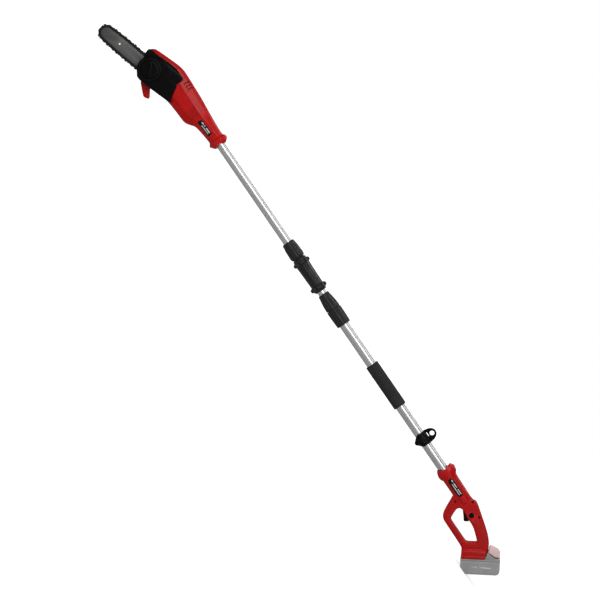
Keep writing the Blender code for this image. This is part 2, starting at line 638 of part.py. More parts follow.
def make_motor():
    origin = tuple(MOTOR_ORIGIN)
    can = [(64, 5.2), (64, MOTOR_R), (125, MOTOR_R), (125, MOTOR_R - 2), (68, MOTOR_R - 2), (68, 5.2)]
    add("motor_can", turned(can, origin, MOTOR_AXIS, 24), "steel")
    cap = [(120, 3.0), (120, MOTOR_R - 2.4), (125.3, MOTOR_R - 2.4), (125.3, MOTOR_R), (128, MOTOR_R - 1),
           (128, 3.0)]
    add("motor_end_cap", turned(cap, origin, MOTOR_AXIS, 24), "black")
    rotor = [(15.5, 2.5), (72, 2.5), (72, 12), (112, 12), (112, 2.5), (130, 2.5)]
    add("motor_rotor", turned(rotor, origin, MOTOR_AXIS, 16, ring=False), "copper", origin)
    turns = []
    for k in range(PINION_TEETH):
        for part, radius in ((0.0, 4.6), (0.12, 6.9), (0.32, 6.9), (0.44, 4.6)):
            turns.append((2 * math.pi * (k + part - 0.22 + 0.5) / PINION_TEETH, radius))
    pinion = star_prism(turns, 16.5, 23.5)
    add("motor_pinion", cut(pinion, rod(origin, MOTOR_AXIS, 0, 40, 2.8, 12)), "steel", origin)


def star_prism(turns, start, end):
    """A toothed outline of (angle from straight down to the crown gear, radius) along the motor."""
    toward = Vector((0.0, -1.0, 0.0))
    across = MOTOR_AXIS.cross(toward)
    bm = bmesh.new()
    loops = []
    for along in (start, end):
        loop = []
        for turn, radius in turns:
            offset = toward * (radius * math.cos(turn)) + across * (radius * math.sin(turn))
            loop.append(bm.verts.new(MOTOR_ORIGIN + MOTOR_AXIS * along + offset))
        loops.append(loop)
    bm.faces.new(loops[0])
    bm.faces.new(list(reversed(loops[1])))
    for k in range(len(turns)):
        j = (k + 1) % len(turns)
        bm.faces.new((loops[0][k], loops[0][j], loops[1][j], loops[1][k]))
    bmesh.ops.recalc_face_normals(bm, faces=bm.faces)
    return bm


def make_oil_system():
    outline = [(-350, -30), (-342, -56), (-330, -70), (-302, -70), (-302, 6), (-320, 3), (-343, -14)]
    tank = prism(outline, 5.0, 25.0)
    neck = rod((OIL_NECK[0], 0, OIL_NECK[1]), Y_AXIS, 20, 44, 11.0, 20)
    tank = join(tank, neck)
    tank = cut(tank, prism(shifted(outline, -2), 7.0, 23.0))
    tank = cut(tank, rod((OIL_NECK[0], 0, OIL_NECK[1]), Y_AXIS, 20, 50, 8.5, 20))
    tank = cut(tank, rod((-302, 9, -16), X_AXIS, -20, 5, 1.2, 8))
    add("oil_tank", tank, "tank")
    cap = [(SIDE_REACH, 14.5), (46.5, 16.5, 1.2), (39.0, 16.5, 1.2), (39.0, 11.4), (44.5, 11.4),
           (44.5, 7.9), (41, 7.9)]
    centre = (OIL_NECK[0], 0, OIL_NECK[1])
    body = turned(cap, centre, Y_AXIS, 20, ring=False, lobes=10)
    add("oil_cap", body, "black", centre)
    pump = join(block(-292, -276, 3, 15, -22, -10), rod((-292, 9, -16), X_AXIS, -9.6, 1, 2.6, 10))
    add("oil_pump", pump, "dark")


# ---- handle ----
HANDLE_OUTER = [(1250, 20), (1300, 20), (1345, 22), (1353, 27.5), (1366, 26.5), (1380, 22.5), (1410.5, 14),
                (1435, 7), (1457, 0), (1475, -8), (1488, -15.5), (1500.4, -28), (1508, -40), (1514, -50),
                (1475, -103), (1462, -101), (1444.6, -90), (1348.5, -88.4), (1339, -86), (1331, -81),
                (1324, -72), (1314, -52.7), (1303, -29), (1297, -18), (1250, -18)]
HAND_GAP = [(1345, -25), (1341, -32), (1341, -38), (1345.4, -49.6), (1352, -64), (1356, -67.5), (1362, -69),
            (1436, -69), (1442, -66), (1458, -45), (1459, -41), (1441.5, -34), (1420, -26.5), (1404, -23.5),
            (1397, -24.5), (1392, -28), (1384, -26), (1356, -20)]
DOCK_BLOCK = [(-5, -0.4), (67, -0.4), (74, -14), (75, -27), (55, -31), (20, -31), (-5, -30), (-5, -8)]
BARREL = [(1209, 23.5, -19.5, 20), (1213, 28, -22.5, 22.5), (1223, 35.5, -26.5, 26), (1231, 34, -28, 26),
          (1240, 31.5, -26.5, 25), (1247, 25.5, -22, 23), (1300, 23, -22, 23), (1338, 21.5, -21, 20),
          (1348, 20, -19, 15)]
HANDLE_SCREWS = {"handle_screw_front": (1319, -26), "handle_screw_middle": (1350, 18.6),
                 "handle_screw_rear": (1401, 7.5)}


def make_handle_shells():
    body = prism(HANDLE_OUTER, -16.5, 16.5)
    body = cut(body, prism(HAND_GAP, -30, 30))
    body = bevelled(body, 4.5, 2, 50)
    barrel = loft([(u, top, bottom, half, half, 2.3) for u, top, bottom, half in BARREL])
    dock = bevelled(dock_prism(DOCK_BLOCK, -36, 36), 3.5, 2, 50)
    body = join(body, barrel, dock)
    channel = dock_prism([(-2.2, 5), (90, 5), (90, -10.5), (-2.2, -10.5)], -26, 26)
    bore = rod((0, 0, 0), X_AXIS, 1200, 1341, LOWER_FIT_R, 28)
    board_space = prism([(1362, 17), (1385, 13), (1408, 2), (1432, -3), (1455, -11), (1462, -27), (1442, -27),
                         (1425, -19), (1402, -17), (1398, -24), (1350, -15), (1350, 5)], -12.5, 12.5)
    trigger_slot = prism([(1351, -10), (1351, -33), (1400, -34), (1400, -10)], -7, 7)
    wire_way = block(1335, 1365, -6, 6, -8, 4)
    dock_space = dock_prism([(-1, -9), (50, -9), (50, -22), (-1, -22)], -22, 22)
    wire_drop = prism([(1446, -16), (1466, -24), (1478, -62), (1466, -66), (1446, -26)], -5, 5)
    button_hole = rod((LOCK_BUTTON[0], 0, LOCK_BUTTON[1]), Y_AXIS, -40, 40, 8.4, 20)
    body = cut(body, channel, bore, board_space, trigger_slot, wire_way, dock_space, wire_drop, button_hole)
    for u, h in HANDLE_SCREWS.values():
        body = cut(body, rod((u, 0, h), Y_AXIS, -60, -11, 3.9, 10))
        body = cut(body, rod((u, 0, h), Y_AXIS, -20, 9, 1.9, 10))
    other = body.copy()
    near_half = cut(body, block(1150, 1600, -0.15, 90, -200, 100))
    far_half = cut(other, block(1150, 1600, -90, 0.15, -200, 100))
    add("handle_shell_left", near_half, "red")
    add("handle_shell_right", far_half, "red")
    for name, (u, h) in HANDLE_SCREWS.items():
        profile = [(-14.0, 3.6), (-11.3, 3.6), (-11.3, 1.6), (8.7, 1.6)]
        add(name, turned(profile, (u, 0, h), Y_AXIS, 10, ring=False), "steel")


def make_controls():
    outline = [(1352, -18.5), (1353.5, -12), (1358, -9), (1363, -12), (1370, -19), (1391, -21),
               (1393.5, -28.5), (1386, -38.5), (1382, -38.5), (1370, -31), (1354.7, -23)]
    pivot = (TRIGGER_PIVOT[0], 0, TRIGGER_PIVOT[1])
    add("trigger", bevelled(prism(outline, -6.2, 6.2), 1.2, 1, 40), "black", pivot)
    add("trigger_switch", block(1404, 1430, -8, 8, -14, -3), "dark")
    add("control_board", prism([(1366, 8), (1389, 3), (1390, 5), (1367, 10)], -11.5, 11.5), "board")
    button = [(-19.5, 7), (-18.5, 8), (-12, 8), (-12, 3.5), (12, 3.5), (12, 8), (18.5, 8), (19.5, 7)]
    centre = (LOCK_BUTTON[0], 0, LOCK_BUTTON[1])
    add("lock_off_button", turned(button, centre, Y_AXIS, 20, ring=False), "black", centre)
    contacts = dock_prism([(-1.7, -1.5), (4, -1.5), (4, -10), (-1.7, -10)], -21, 21)
    for y in (-15, 0, 15):
        contacts = join(contacts, dock_prism([(3, -4), (17, -4), (17, -8), (3, -8)], y - 0.4, y + 0.4))
    add("terminal_block", contacts, "brass")


# ---- battery ----
def make_battery():
    width = BATTERY_HALF_WIDTH
    pivot = (DOCK_CORNER[0], 0, DOCK_CORNER[1])
    tilt = math.radians(DOCK_TILT)
    drop = POLE_HEIGHT + DOCK_CORNER[1]
    facet_front = (-6, (drop - 6 * math.sin(tilt)) / math.cos(tilt))
    facet_rear = ((46.7 * math.cos(tilt) - drop) / math.sin(tilt), 46.7)
    outline = [(-6, 5.3), facet_front, facet_rear, (110, 46.7), (116.5, 40), (116.5, 5.3)]
    case = prism_with_rounded_sides(outline, width)
    inner = [(-3.5, 0), (-3.5, 23.8), (11.9, 44.2), (109, 44.2), (114, 39), (114, 0)]
    case = cut(case, dock_prism(inner, -width + 2.7, width - 2.7))
    add("battery_case", case, "grey", pivot)
    lid = bevelled(dock_prism([(-6, 5.0), (-6, 0.4), (116.5, 0.4), (116.5, 5.0)], -width, width), 1.2, 1)
    hump = [(69.5, 1), (70.5, -4), (75.2, -15), (79.9, -28), (80.8, -35), (81.6, -35), (81.6, -17),
            (101, -4.4), (116, -4.4), (116.3, 1)]
    lid = join(lid, dock_prism(hump, -31, 31))
    lid = join(lid, dock_prism([(6, 1), (6, -9.5), (72, -9.5), (72, 1)], -25, 25))
    lid = cut(lid, dock_prism([(4, -2.5), (22, -2.5), (22, -20), (4, -20)], -18, 18))
    lid = cut(lid, dock_prism([(101.4, -10), (110.6, -10), (110.6, 0.8), (101.4, 0.8)], -10.6, 10.6))
    add("battery_lid", lid, "grey", pivot)
    latch = [(82.4, -20), (82, -36.5), (84.5, -39.5), (94, -37.6), (111.6, -28), (115.6, -20), (115.6, -8),
             (101, -8)]
    latch = bevelled(dock_prism(latch, -30.6, 30.6), 1.5, 1)
    latch = join(latch, dock_prism([(102, -12), (110, -12), (110, -3), (102, -3)], -10, 10))
    add("battery_latch", latch, "pink", pivot)
    end = CELL_LENGTH / 2
    cells = dock_prism([(16, 12), (100, 12), (100, 38), (16, 38)], end - 0.5, end + 0.5)
    cells = join(cells, dock_prism([(16, 12), (100, 12), (100, 38), (16, 38)], -end - 0.5, -end + 0.5))
    for row in range(2):
        for column in range(5):
            u, h = dock_point(20.5 + CELL_STEP * column, 15.2 + CELL_STEP * row)
            cells = join(cells, rod((u, 0, h), Y_AXIS, -end, end, CELL_R, 10))
    add("battery_cells", cells, "cell", pivot)
    terminals = dock_prism([(18, -2.9), (21, -2.9), (21, -9), (18, -9)], -17, 17)
    blade = [(7, -3.2), (19, -3.2), (19, -8.6), (7, -8.6)]
    for y in (-15, 0, 15):
        terminals = join(terminals, dock_prism(blade, y + 0.9, y + 1.6))
    add("battery_terminals", terminals, "brass", pivot)


def prism_with_rounded_sides(outline, half_width):
    """The pack's case with its long edges rounded, but its rest facet left flat."""
    return bevelled(dock_prism(outline, -half_width, half_width), 2.5, 2, 60)


def clear_scene():
    for made in list(bpy.data.objects):
        bpy.data.objects.remove(made)


clear_scene()
MATERIALS = {name: material(name, *look) for name, look in LOOKS.items()}
make_tubes()
make_cables()
make_union()
make_telescope_clamp()
make_foam_grip()
make_harness_clamp()
make_head_shells()
make_chain_cover()
make_cover_knob()
make_guide_bar()
make_saw_chain()
make_drive()
make_motor()
make_oil_system()
make_handle_shells()
make_controls()
make_battery()
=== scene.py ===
"""Looks of the telescoping pole saw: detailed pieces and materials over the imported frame.

Shapes are worked out in pole coordinates, in millimetres: u along the pole from the saw
head to the handle, y across it, h above the pole's axis. place() turns them into metres
in the frame, where the pole's axis is found from the tubes' own boxes.
"""
import json
import math

import bmesh
import bpy
import numpy as np
from mathutils import Matrix, Vector


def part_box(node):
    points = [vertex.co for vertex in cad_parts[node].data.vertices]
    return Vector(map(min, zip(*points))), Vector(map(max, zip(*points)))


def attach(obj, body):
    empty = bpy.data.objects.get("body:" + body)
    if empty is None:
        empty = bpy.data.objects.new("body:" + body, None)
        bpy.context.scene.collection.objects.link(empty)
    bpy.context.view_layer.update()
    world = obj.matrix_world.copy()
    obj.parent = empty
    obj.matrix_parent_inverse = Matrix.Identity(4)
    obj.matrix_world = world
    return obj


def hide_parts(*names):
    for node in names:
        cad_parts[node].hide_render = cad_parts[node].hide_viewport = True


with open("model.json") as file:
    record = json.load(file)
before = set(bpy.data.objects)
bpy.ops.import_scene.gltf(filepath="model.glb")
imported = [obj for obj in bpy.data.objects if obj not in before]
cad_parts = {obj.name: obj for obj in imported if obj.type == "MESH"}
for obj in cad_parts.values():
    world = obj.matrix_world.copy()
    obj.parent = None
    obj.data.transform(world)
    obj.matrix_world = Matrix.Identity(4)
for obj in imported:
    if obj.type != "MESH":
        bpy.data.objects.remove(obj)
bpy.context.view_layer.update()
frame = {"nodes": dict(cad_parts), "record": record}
behaviour = frame["record"]["behaviour"]
BODY_OF = {node: body for body, nodes in behaviour["bodies"].items() for node in nodes}
SLOT_OF = {entry["node"]: entry["material_slot"] for entry in frame["record"]["subparts"]}

MM = 0.001
ALL_ROUND = 2.0 * math.pi
QUARTER = 0.5 * math.pi
X_AXIS = Vector((1.0, 0.0, 0.0))
Y_AXIS = Vector((0.0, 1.0, 0.0))
Z_AXIS = Vector((0.0, 0.0, 1.0))

# ---- places read from the frame ----
HEAD_TUBE_START = -60.0      # the head tube starts this far inside the head
tube_low, tube_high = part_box("head_tube")
POLE_HEIGHT = 500.0 * (tube_low[2] + tube_high[2])
POLE_MIDDLE = HEAD_TUBE_START - 1000.0 * tube_low[0]


def span_of(node):
    """The lowest and highest u of a CAD node, in millimetres."""
    low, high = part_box(node)
    return low[0] * 1000.0 + POLE_MIDDLE, high[0] * 1000.0 + POLE_MIDDLE


def joint_place(name):
    x, _, z = next(joint["pos_m"] for joint in behaviour["joints"] if joint["name"] == name)
    return (x * 1000.0 + POLE_MIDDLE, z * 1000.0 - POLE_HEIGHT)


KNOB = joint_place("cover_knob_turn")
SPROCKET = joint_place("sprocket_spin")
NOSE = joint_place("nose_spin")
OIL_NECK = joint_place("oil_cap_turn")
BAR_TILT = math.atan2(KNOB[1] - NOSE[1], KNOB[0] - NOSE[0])
BAR_Y = -14.0                # the bar's middle plane
NOSE_S = math.dist(KNOB, NOSE)
SPROCKET_S = -math.dist(KNOB, SPROCKET)
NOSE_R = 19.8                # radius of the bar's nose
SPROCKET_PITCH_R = 18.2
CHAIN_RISE = 3.2             # rivets over the bar's edge
CHAIN_STEPS = 66             # rivets round the whole chain
DOCK_CORNER = (1475.6, -107.0)
DOCK_TILT = math.radians(53.0)
BATTERY_HALF_WIDTH = 39.0
LOCK_BUTTON = (1382.6, -8.7)
EYE = (1103.6, 34.1)         # middle of the carrying eye
HARNESS_SCREW_Y = 25.4
COVER_INNER_Y = -9.4
COVER_FACE_Y = -33.0
UPPER_BORE_R = 12.75         # head tube and inner tube, inside
LOWER_BORE_R = 14.75         # outer tube, inside
KNOB_WING_TURN = math.radians(-41.0)


def place(point):
    u, y, h = point
    return Vector((u - POLE_MIDDLE, y, POLE_HEIGHT + h)) * MM


def bar_point(s, w):
    u = KNOB[0] - s * math.cos(BAR_TILT) - w * math.sin(BAR_TILT)
    h = KNOB[1] - s * math.sin(BAR_TILT) + w * math.cos(BAR_TILT)
    return (u, h)


def dock_point(a, d):
    u = DOCK_CORNER[0] + a * math.cos(DOCK_TILT) + d * math.sin(DOCK_TILT)
    h = DOCK_CORNER[1] + a * math.sin(DOCK_TILT) - d * math.cos(DOCK_TILT)
    return (u, h)


# ---- materials ----
def fill(tree, node, inputs):
    """Link each named input of the node to a socket, or set it to a value."""
    for name, value in inputs.items():
        if isinstance(value, bpy.types.NodeSocket):
            tree.links.new(value, node.inputs[name])
        else:
            node.inputs[name].default_value = value


def add_node(tree, kind, output, inputs=None, **settings):
    """Add a node with these settings and inputs, and give one of its outputs."""
    node = tree.nodes.new(kind)
    for key, value in settings.items():
        setattr(node, key, value)
    fill(tree, node, inputs or {})
    return node.outputs[output]


class Nodes:
    """A short way to build a node tree around one Principled shader."""

    def __init__(self, name):
        self.material = bpy.data.materials.new(name)
        self.material.use_nodes = True
        self.tree = self.material.node_tree
        self.place = self.add("ShaderNodeTexCoord", "Object")

    def add(self, kind, output, inputs=None, **settings):
        return add_node(self.tree, kind, output, inputs, **settings)

    def noise(self, size, detail=4.0, scale=(1.0, 1.0, 1.0), turn=0.0):
        """Noise over the object's own coordinates, turned about Y and stretched."""
        mapping = {"Rotation": (0.0, turn, 0.0), "Scale": scale, "Vector": self.place}
        spot = self.add("ShaderNodeMapping", "Vector", mapping, vector_type="TEXTURE")
        inputs = {"Scale": 1.0 / size, "Detail": detail, "Vector": spot}
        return self.add("ShaderNodeTexNoise", "Fac", inputs)

    def cells(self, size):
        inputs = {"Scale": 1.0 / size, "Vector": self.place}
        return self.add("ShaderNodeTexVoronoi", "Distance", inputs, feature="F1")

    def span(self, value, low, high, lowest=0.0, highest=1.0):
        return self.add("ShaderNodeMapRange", "Result", {
            "From Min": low, "From Max": high, "To Min": lowest, "To Max": highest, "Value": value})

    def blend(self, factor, *colours):
        first, second = [(*c, 1.0) if isinstance(c, tuple) else c for c in colours]
        inputs = {"Factor": factor, "A": first, "B": second}
        return self.add("ShaderNodeMix", "Result", inputs, data_type="RGBA")

    def bump(self, height, strength, depth):
        inputs = {"Strength": strength, "Distance": depth, "Height": height}
        return self.add("ShaderNodeBump", "Normal", inputs)

    def edges(self, low=0.52, high=0.60):
        """1 on worn outer edges, 0 on faces."""
        return self.span(self.add("ShaderNodeNewGeometry", "Pointiness"), low, high)

    def finish(self, colour, roughness, normal=None, metallic=0.0, specular=0.5, **more):
        inputs = {"Base Color": colour, "Roughness": roughness, "Metallic": metallic,
                  "Specular IOR Level": specular, **more}
        if normal is not None:
            inputs["Normal"] = normal
        fill(self.tree, self.tree.nodes["Principled BSDF"], inputs)
        return self.material


def moulded(name, colour, light, rough, grain=0.0006, strength=0.25, specular=0.5):
    """Injection-moulded plastic: fine spark texture, faint flow shading and rubbed edges."""
    n = Nodes(name)
    flow = n.noise(0.05, 3.0)
    shade = tuple(0.82 * c for c in colour)
    body = n.blend(n.span(flow, 0.35, 0.7), shade, colour)
    worn = n.blend(n.edges(), body, light)
    fine = n.noise(grain, 2.0)
    smudge = n.noise(0.018, 5.0)
    roughness = n.span(smudge, 0.3, 0.75, rough - 0.07, rough + 0.09)
    normal = n.bump(fine, strength, 0.00012)
    return n.finish(worn, roughness, normal, 0.0, specular)


def drawn_aluminium(name, colour, rough):
    """Anodised tube with drawing lines along the pole and a few handling scuffs."""
    n = Nodes(name)
    lines = n.noise(0.0011, 4.0, (60.0, 1.0, 1.0))
    scuffs = n.noise(0.012, 6.0, (5.0, 1.0, 1.0))
    body = n.blend(n.span(lines, 0.3, 0.7), tuple(0.86 * c for c in colour), colour)
    marked = n.blend(n.span(scuffs, 0.66, 0.74), body, tuple(0.62 * c for c in colour))
    roughness = n.span(lines, 0.3, 0.7, rough - 0.05, rough + 0.08)
    return n.finish(marked, roughness, n.bump(lines, 0.18, 0.00008), 1.0)


def ground_steel(name, colour, rough, turn=0.0, stretch=(30.0, 1.0, 1.0), metallic=1.0):
    """Ground steel with grinding lines and darker patches."""
    n = Nodes(name)
    lines = n.noise(0.0008, 4.0, stretch, turn)
    patches = n.noise(0.03, 5.0)
    body = n.blend(n.span(lines, 0.25, 0.75), tuple(0.72 * c for c in colour), colour)
    stained = n.blend(n.span(patches, 0.5, 0.8), body, tuple(0.66 * c for c in colour))
    worn = n.blend(n.edges(0.53, 0.62), stained, tuple(min(1.0, 2.2 * c) for c in colour))
    roughness = n.span(patches, 0.3, 0.7, rough - 0.06, rough + 0.12)
    return n.finish(worn, roughness, n.bump(lines, 0.15, 0.00006), metallic)


def foam_rubber(name, colour):
    """Closed-cell foam: small pores painted darker as painted shade in them, soft lustre and dusty high
    spots.
    """
    n = Nodes(name)
    pores = n.cells(0.0011)
    dust = n.noise(0.012, 5.0)
    body = n.blend(n.span(dust, 0.4, 0.75), colour, tuple(1.9 * c for c in colour))
    # the pores painted half as bright: painted shade in the pore hollows
    dark = n.blend(n.span(pores, 0.05, 0.45), tuple(0.5 * c for c in colour), body)
    roughness = n.span(dust, 0.3, 0.7, 0.78, 0.95)
    return n.finish(dark, roughness, n.bump(pores, 0.6, 0.0005), 0.0, 0.3)


EVEN = (1.0, 1.0, 1.0)


def neutral(tone):
    return (tone, tone, tone)


# The record's material slots first, then the looks of details that no CAD node has.
LOOKS = {
    "red_shell": moulded("red_plastic", (0.50, 0.003, 0.003), (0.60, 0.02, 0.02),
                         0.32, 0.0007, 0.08, 0.2),
    "black_plastic": moulded("black_plastic", (0.0014, 0.0014, 0.0015), (0.007, 0.007, 0.0075),
                             0.34, 0.0008, 0.35, 0.1),
    "ribbed_plastic": moulded("ribbed_plastic", (0.012, 0.012, 0.0115), (0.032, 0.032, 0.03),
                              0.45, 0.0008, 0.4, 0.25),
    "battery_grey": moulded("pack_grey", neutral(0.36), neutral(0.44), 0.5, 0.0008, 0.2),
    "latch_pink": moulded("latch_pink", (0.94, 0.65, 0.64), (0.95, 0.72, 0.7), 0.5, 0.0008, 0.2),
    "foam": foam_rubber("foam_grip", (0.017, 0.017, 0.018)),
    "tube_aluminium": drawn_aluminium("tube_aluminium", neutral(0.62), 0.3),
    "cast_aluminium": ground_steel("cast_aluminium", (0.5, 0.5, 0.51), 0.45, 0.0, EVEN),
    "bar_steel": ground_steel("bar_steel", (0.115, 0.112, 0.110), 0.42, -BAR_TILT, (40.0, 1.0, 1.0),
                              0.55),
    "chain_steel": ground_steel("chain_steel", (0.008, 0.008, 0.0085), 0.45, 0.0, (3.0, 1.0, 1.0), 0.6),
    "bright_steel": ground_steel("bright_steel", (0.46, 0.46, 0.47), 0.3, 0.0, (1.0, 8.0, 1.0)),
    "copper_winding": ground_steel("copper_winding", (0.6, 0.28, 0.15), 0.35, 0.0, EVEN),
    "contact_brass": ground_steel("contact_brass", (0.65, 0.47, 0.2), 0.28, 0.0, (6.0, 1.0, 1.0)),
    "board_green": moulded("board_green", (0.02, 0.16, 0.06), (0.04, 0.22, 0.09), 0.45),
    "cable_rubber": moulded("cable_rubber", neutral(0.014), neutral(0.03), 0.65),
    "cell_wrap": moulded("cell_wrap", (0.05, 0.22, 0.40), (0.1, 0.3, 0.5), 0.35),
    "tank_plastic": moulded("tank_plastic", (0.62, 0.62, 0.56), (0.7, 0.7, 0.65), 0.35),
    "pale": moulded("pack_stripe", neutral(0.62), neutral(0.7), 0.45),
    "silver": moulded("label_silver", neutral(0.5), neutral(0.6), 0.35),
    "label": moulded("label_black", (0.004, 0.004, 0.0045), neutral(0.006), 0.45, 0.0008, 0.1, 0.12),
    # Painted shade: a darker red laid on the floors of the head's vent slits, standing in for the shade
    # inside them.
    "shadow": moulded("vent_painted_shade", (0.13, 0.003, 0.004), (0.14, 0.004, 0.005), 0.6, 0.0008, 0.1, 0.2),
    "dark_steel": ground_steel("screw_steel", neutral(0.02), 0.45, 0.0, (1.0, 4.0, 1.0), 0.8),
}


# ---- shape helpers, in pole coordinates ----
def skinned(rings, closed=False):
    """Rings of points skinned into one solid: capped at both ends, or closed on themselves."""
    bm = bmesh.new()
    loops = [[bm.verts.new(point) for point in ring] for ring in rings]
    count = len(loops[0])
    for lower, upper in zip(loops, loops[1:] + (loops[:1] if closed else [])):
        for k in range(count):
            j = (k + 1) % count
            bm.faces.new((lower[k], lower[j], upper[j], upper[k]))
    if not closed:
        bm.faces.new(loops[0])
        bm.faces.new(list(reversed(loops[-1])))
    bmesh.ops.recalc_face_normals(bm, faces=bm.faces)
    return bm


def prism(outline, y0, y1):
    return skinned([[(u, y, h) for u, h in outline] for y in (y0, y1)])


def rectangle(u0, h0, u1, h1):
    return [(u0, h0), (u1, h0), (u1, h1), (u0, h1)]


def block(u0, u1, y0, y1, h0, h1):
    return prism(rectangle(u0, h0, u1, h1), y0, y1)


def turned(profile, centre=neutral(0.0), axis=X_AXIS, segments=64, ring=True, lobes=0, power=1.0):
    """A profile of (along, radius[, lobe depth]) turned about an axis."""
    axis = Vector(axis).normalized()
    side = Vector((0.0, 1.0, 0.0)) if abs(axis.y) < 0.5 else Vector((0.0, 0.0, 1.0))
    up = axis.cross(side).normalized()
    side = up.cross(axis).normalized()
    rings = []
    for along, radius, *lobe in profile:
        loop = []
        for k in range(segments):
            turn = ALL_ROUND * k / segments
            wave = (0.5 - 0.5 * math.cos(lobes * turn)) ** power
            reach = radius - sum(lobe) * wave
            offset = side * (reach * math.cos(turn)) + up * (reach * math.sin(turn))
            loop.append(Vector(centre) + axis * along + offset)
        rings.append(loop)
    return skinned(rings, closed=ring)


def rod(centre, axis, start, end, radius, segments=32):
    return turned([(start, radius), (end, radius)], centre, axis, segments, ring=False)


def turned_at(spot, profile, segments=96, ring=False, **shape):
    """A profile of (y, radius[, lobe depth]) turned about an axis across the pole at spot."""
    return turned(profile, (spot[0], 0, spot[1]), Y_AXIS, segments, ring, **shape)


def pin(spot, y0, y1, radius, segments=32):
    """A rod across the pole at spot, a (u, h)."""
    return turned_at(spot, [(y0, radius), (y1, radius)], segments)


def arc(radius, first, last, steps, middle=0.0):
    """Points on an arc about (middle, 0), from first to last in degrees."""
    turns = [math.radians(first + (last - first) * k / steps) for k in range(steps + 1)]
    return [(middle + radius * math.cos(turn), radius * math.sin(turn)) for turn in turns]


def cut_corners(points, keep):
    """Each side of an open run of points, shortened by keep of its length at both ends."""
    result = []
    for (u, h), (v, k) in zip(points, points[1:]):
        result.append((u + (v - u) * keep, h + (k - h) * keep))
        result.append((v - (v - u) * keep, k - (k - h) * keep))
    return result


def softened(points, rounds=2, keep=0.25):
    """A closed outline with its corners rounded."""
    for _ in range(rounds):
        points = cut_corners(points + points[:1], keep)
    return points


def eased(points, rounds=2, keep=0.2):
    """An open run of points with its inner corners rounded."""
    for _ in range(rounds):
        points = [points[0]] + cut_corners(points, keep) + [points[-1]]
    return points


def meshed(name, bm):
    mesh = bpy.data.meshes.new(name)
    bm.to_mesh(mesh)
    bm.free()
    return mesh


def shown(name, data):
    """A new object in the scene."""
    made = bpy.data.objects.new(name, data)
    bpy.context.scene.collection.objects.link(made)
    return made


def scratch_object(bm):
    return shown("scratch", meshed("scratch", bm))


def evaluated(made):
    bpy.context.view_layer.update()
    depsgraph = bpy.context.evaluated_depsgraph_get()
    mesh = bpy.data.meshes.new_from_object(made.evaluated_get(depsgraph))
    bm = bmesh.new()
    bm.from_mesh(mesh)
    bpy.data.meshes.remove(mesh)
    bpy.data.objects.remove(made)
    return bm


def combine(body, tool, operation):
    first = scratch_object(body)
    second = scratch_object(tool)
    step = first.modifiers.new("combine", "BOOLEAN")
    step.operation = operation
    step.solver = "EXACT"
    step.object = second
    result = evaluated(first)
    bpy.data.objects.remove(second)
    return result


def cut(body, *tools):
    for tool in tools:
        body = combine(body, tool, "DIFFERENCE")
    return body


def join(body, *tools):
    for tool in tools:
        body = combine(body, tool, "UNION")
    return body


def bevelled(bm, width, segments=3):
    made = scratch_object(bm)
    step = made.modifiers.new("bevel", "BEVEL")
    step.width = width
    step.segments = segments
    step.limit_method = "ANGLE"
    step.angle_limit = math.radians(30.0)
    step.use_clamp_overlap = True
    return evaluated(made)


def gathered(*solids):
    """Several solids in one mesh."""
    bm = bmesh.new()
    for solid in solids:
        mesh = meshed("gathered", solid)
        bm.from_mesh(mesh)
        bpy.data.meshes.remove(mesh)
    return bm


def piece(name, bm, *nodes, look=None, rides=None, slot=None, smooth=32.0):
    """Make a finished piece; it stands for the CAD nodes named, and rides on their body."""
    slot = slot or SLOT_OF[nodes[0]]
    for vert in bm.verts:
        vert.co = place(vert.co)
    mesh = meshed(name, bm)
    mesh.materials.append(LOOKS[look or slot])
    mesh.shade_smooth()
    mesh.set_sharp_from_angle(angle=math.radians(smooth))
    made = shown(name, mesh)
    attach(made, rides or BODY_OF[nodes[0]])
    if nodes:
        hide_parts(*nodes)
    return made


# ---- outlines and surfaces that several pieces share ----
def table(points, u):
    return float(np.interp(u, [p[0] for p in points], [p[1] for p in points]))


def shifted(outline, distance):
    """The closed outline moved out by the distance (in, if negative), corner by corner."""
    area = sum(a[0] * b[1] - b[0] * a[1] for a, b in zip(outline, outline[1:] + outline[:1]))
    sign = 1.0 if area > 0 else -1.0
    result = []
    for i, point in enumerate(outline):
        before = Vector(outline[i - 1])
        here = Vector(point)
        after = Vector(outline[(i + 1) % len(outline)])
        first = (here - before).normalized()
        second = (after - here).normalized()
        normal_1 = Vector((first.y, -first.x)) * sign
        normal_2 = Vector((second.y, -second.x)) * sign
        mitre = (normal_1 + normal_2).normalized()
        moved = here + mitre * (distance / max(0.5, mitre.dot(normal_1)))
        result.append((moved.x, moved.y))
    return result


def rounded(outline, y0, y1, near=0.0, far=0.0, steps=4):
    """An outline drawn out from y0 to y1, with rounded edges at the near and far face."""
    layers = []
    for k in range(steps + 1 if near else 1):
        turn = QUARTER * k / steps
        layers.append((y0 + near * (1.0 - math.cos(turn)), near * (1.0 - math.sin(turn))))
    for k in range(steps + 1 if far else 1):
        turn = QUARTER * (1.0 - k / steps)
        layers.append((y1 - far * (1.0 - math.cos(turn)), far * (1.0 - math.sin(turn))))
    return skinned([[(u, y, h) for u, h in shifted(outline, -inset)] for y, inset in layers])


def flared(outline, half, radius, steps=4, reach=30.0):
    """A cutter that leaves rounded edges where it goes through faces at -half and half."""
    layers = [(-half - reach, radius)]
    for k in range(steps + 1):
        turn = QUARTER * k / steps
        layers.append((-half + radius * (1.0 - math.cos(turn)), radius * (1.0 - math.sin(turn))))
    layers += [(-y, inset) for y, inset in reversed(layers)]
    return skinned([[(u, y, h) for u, h in shifted(outline, inset)] for y, inset in layers])


def docked(outline):
    """An outline in the dock's own (a, d) turned into (u, h)."""
    return [dock_point(a, d) for a, d in outline]


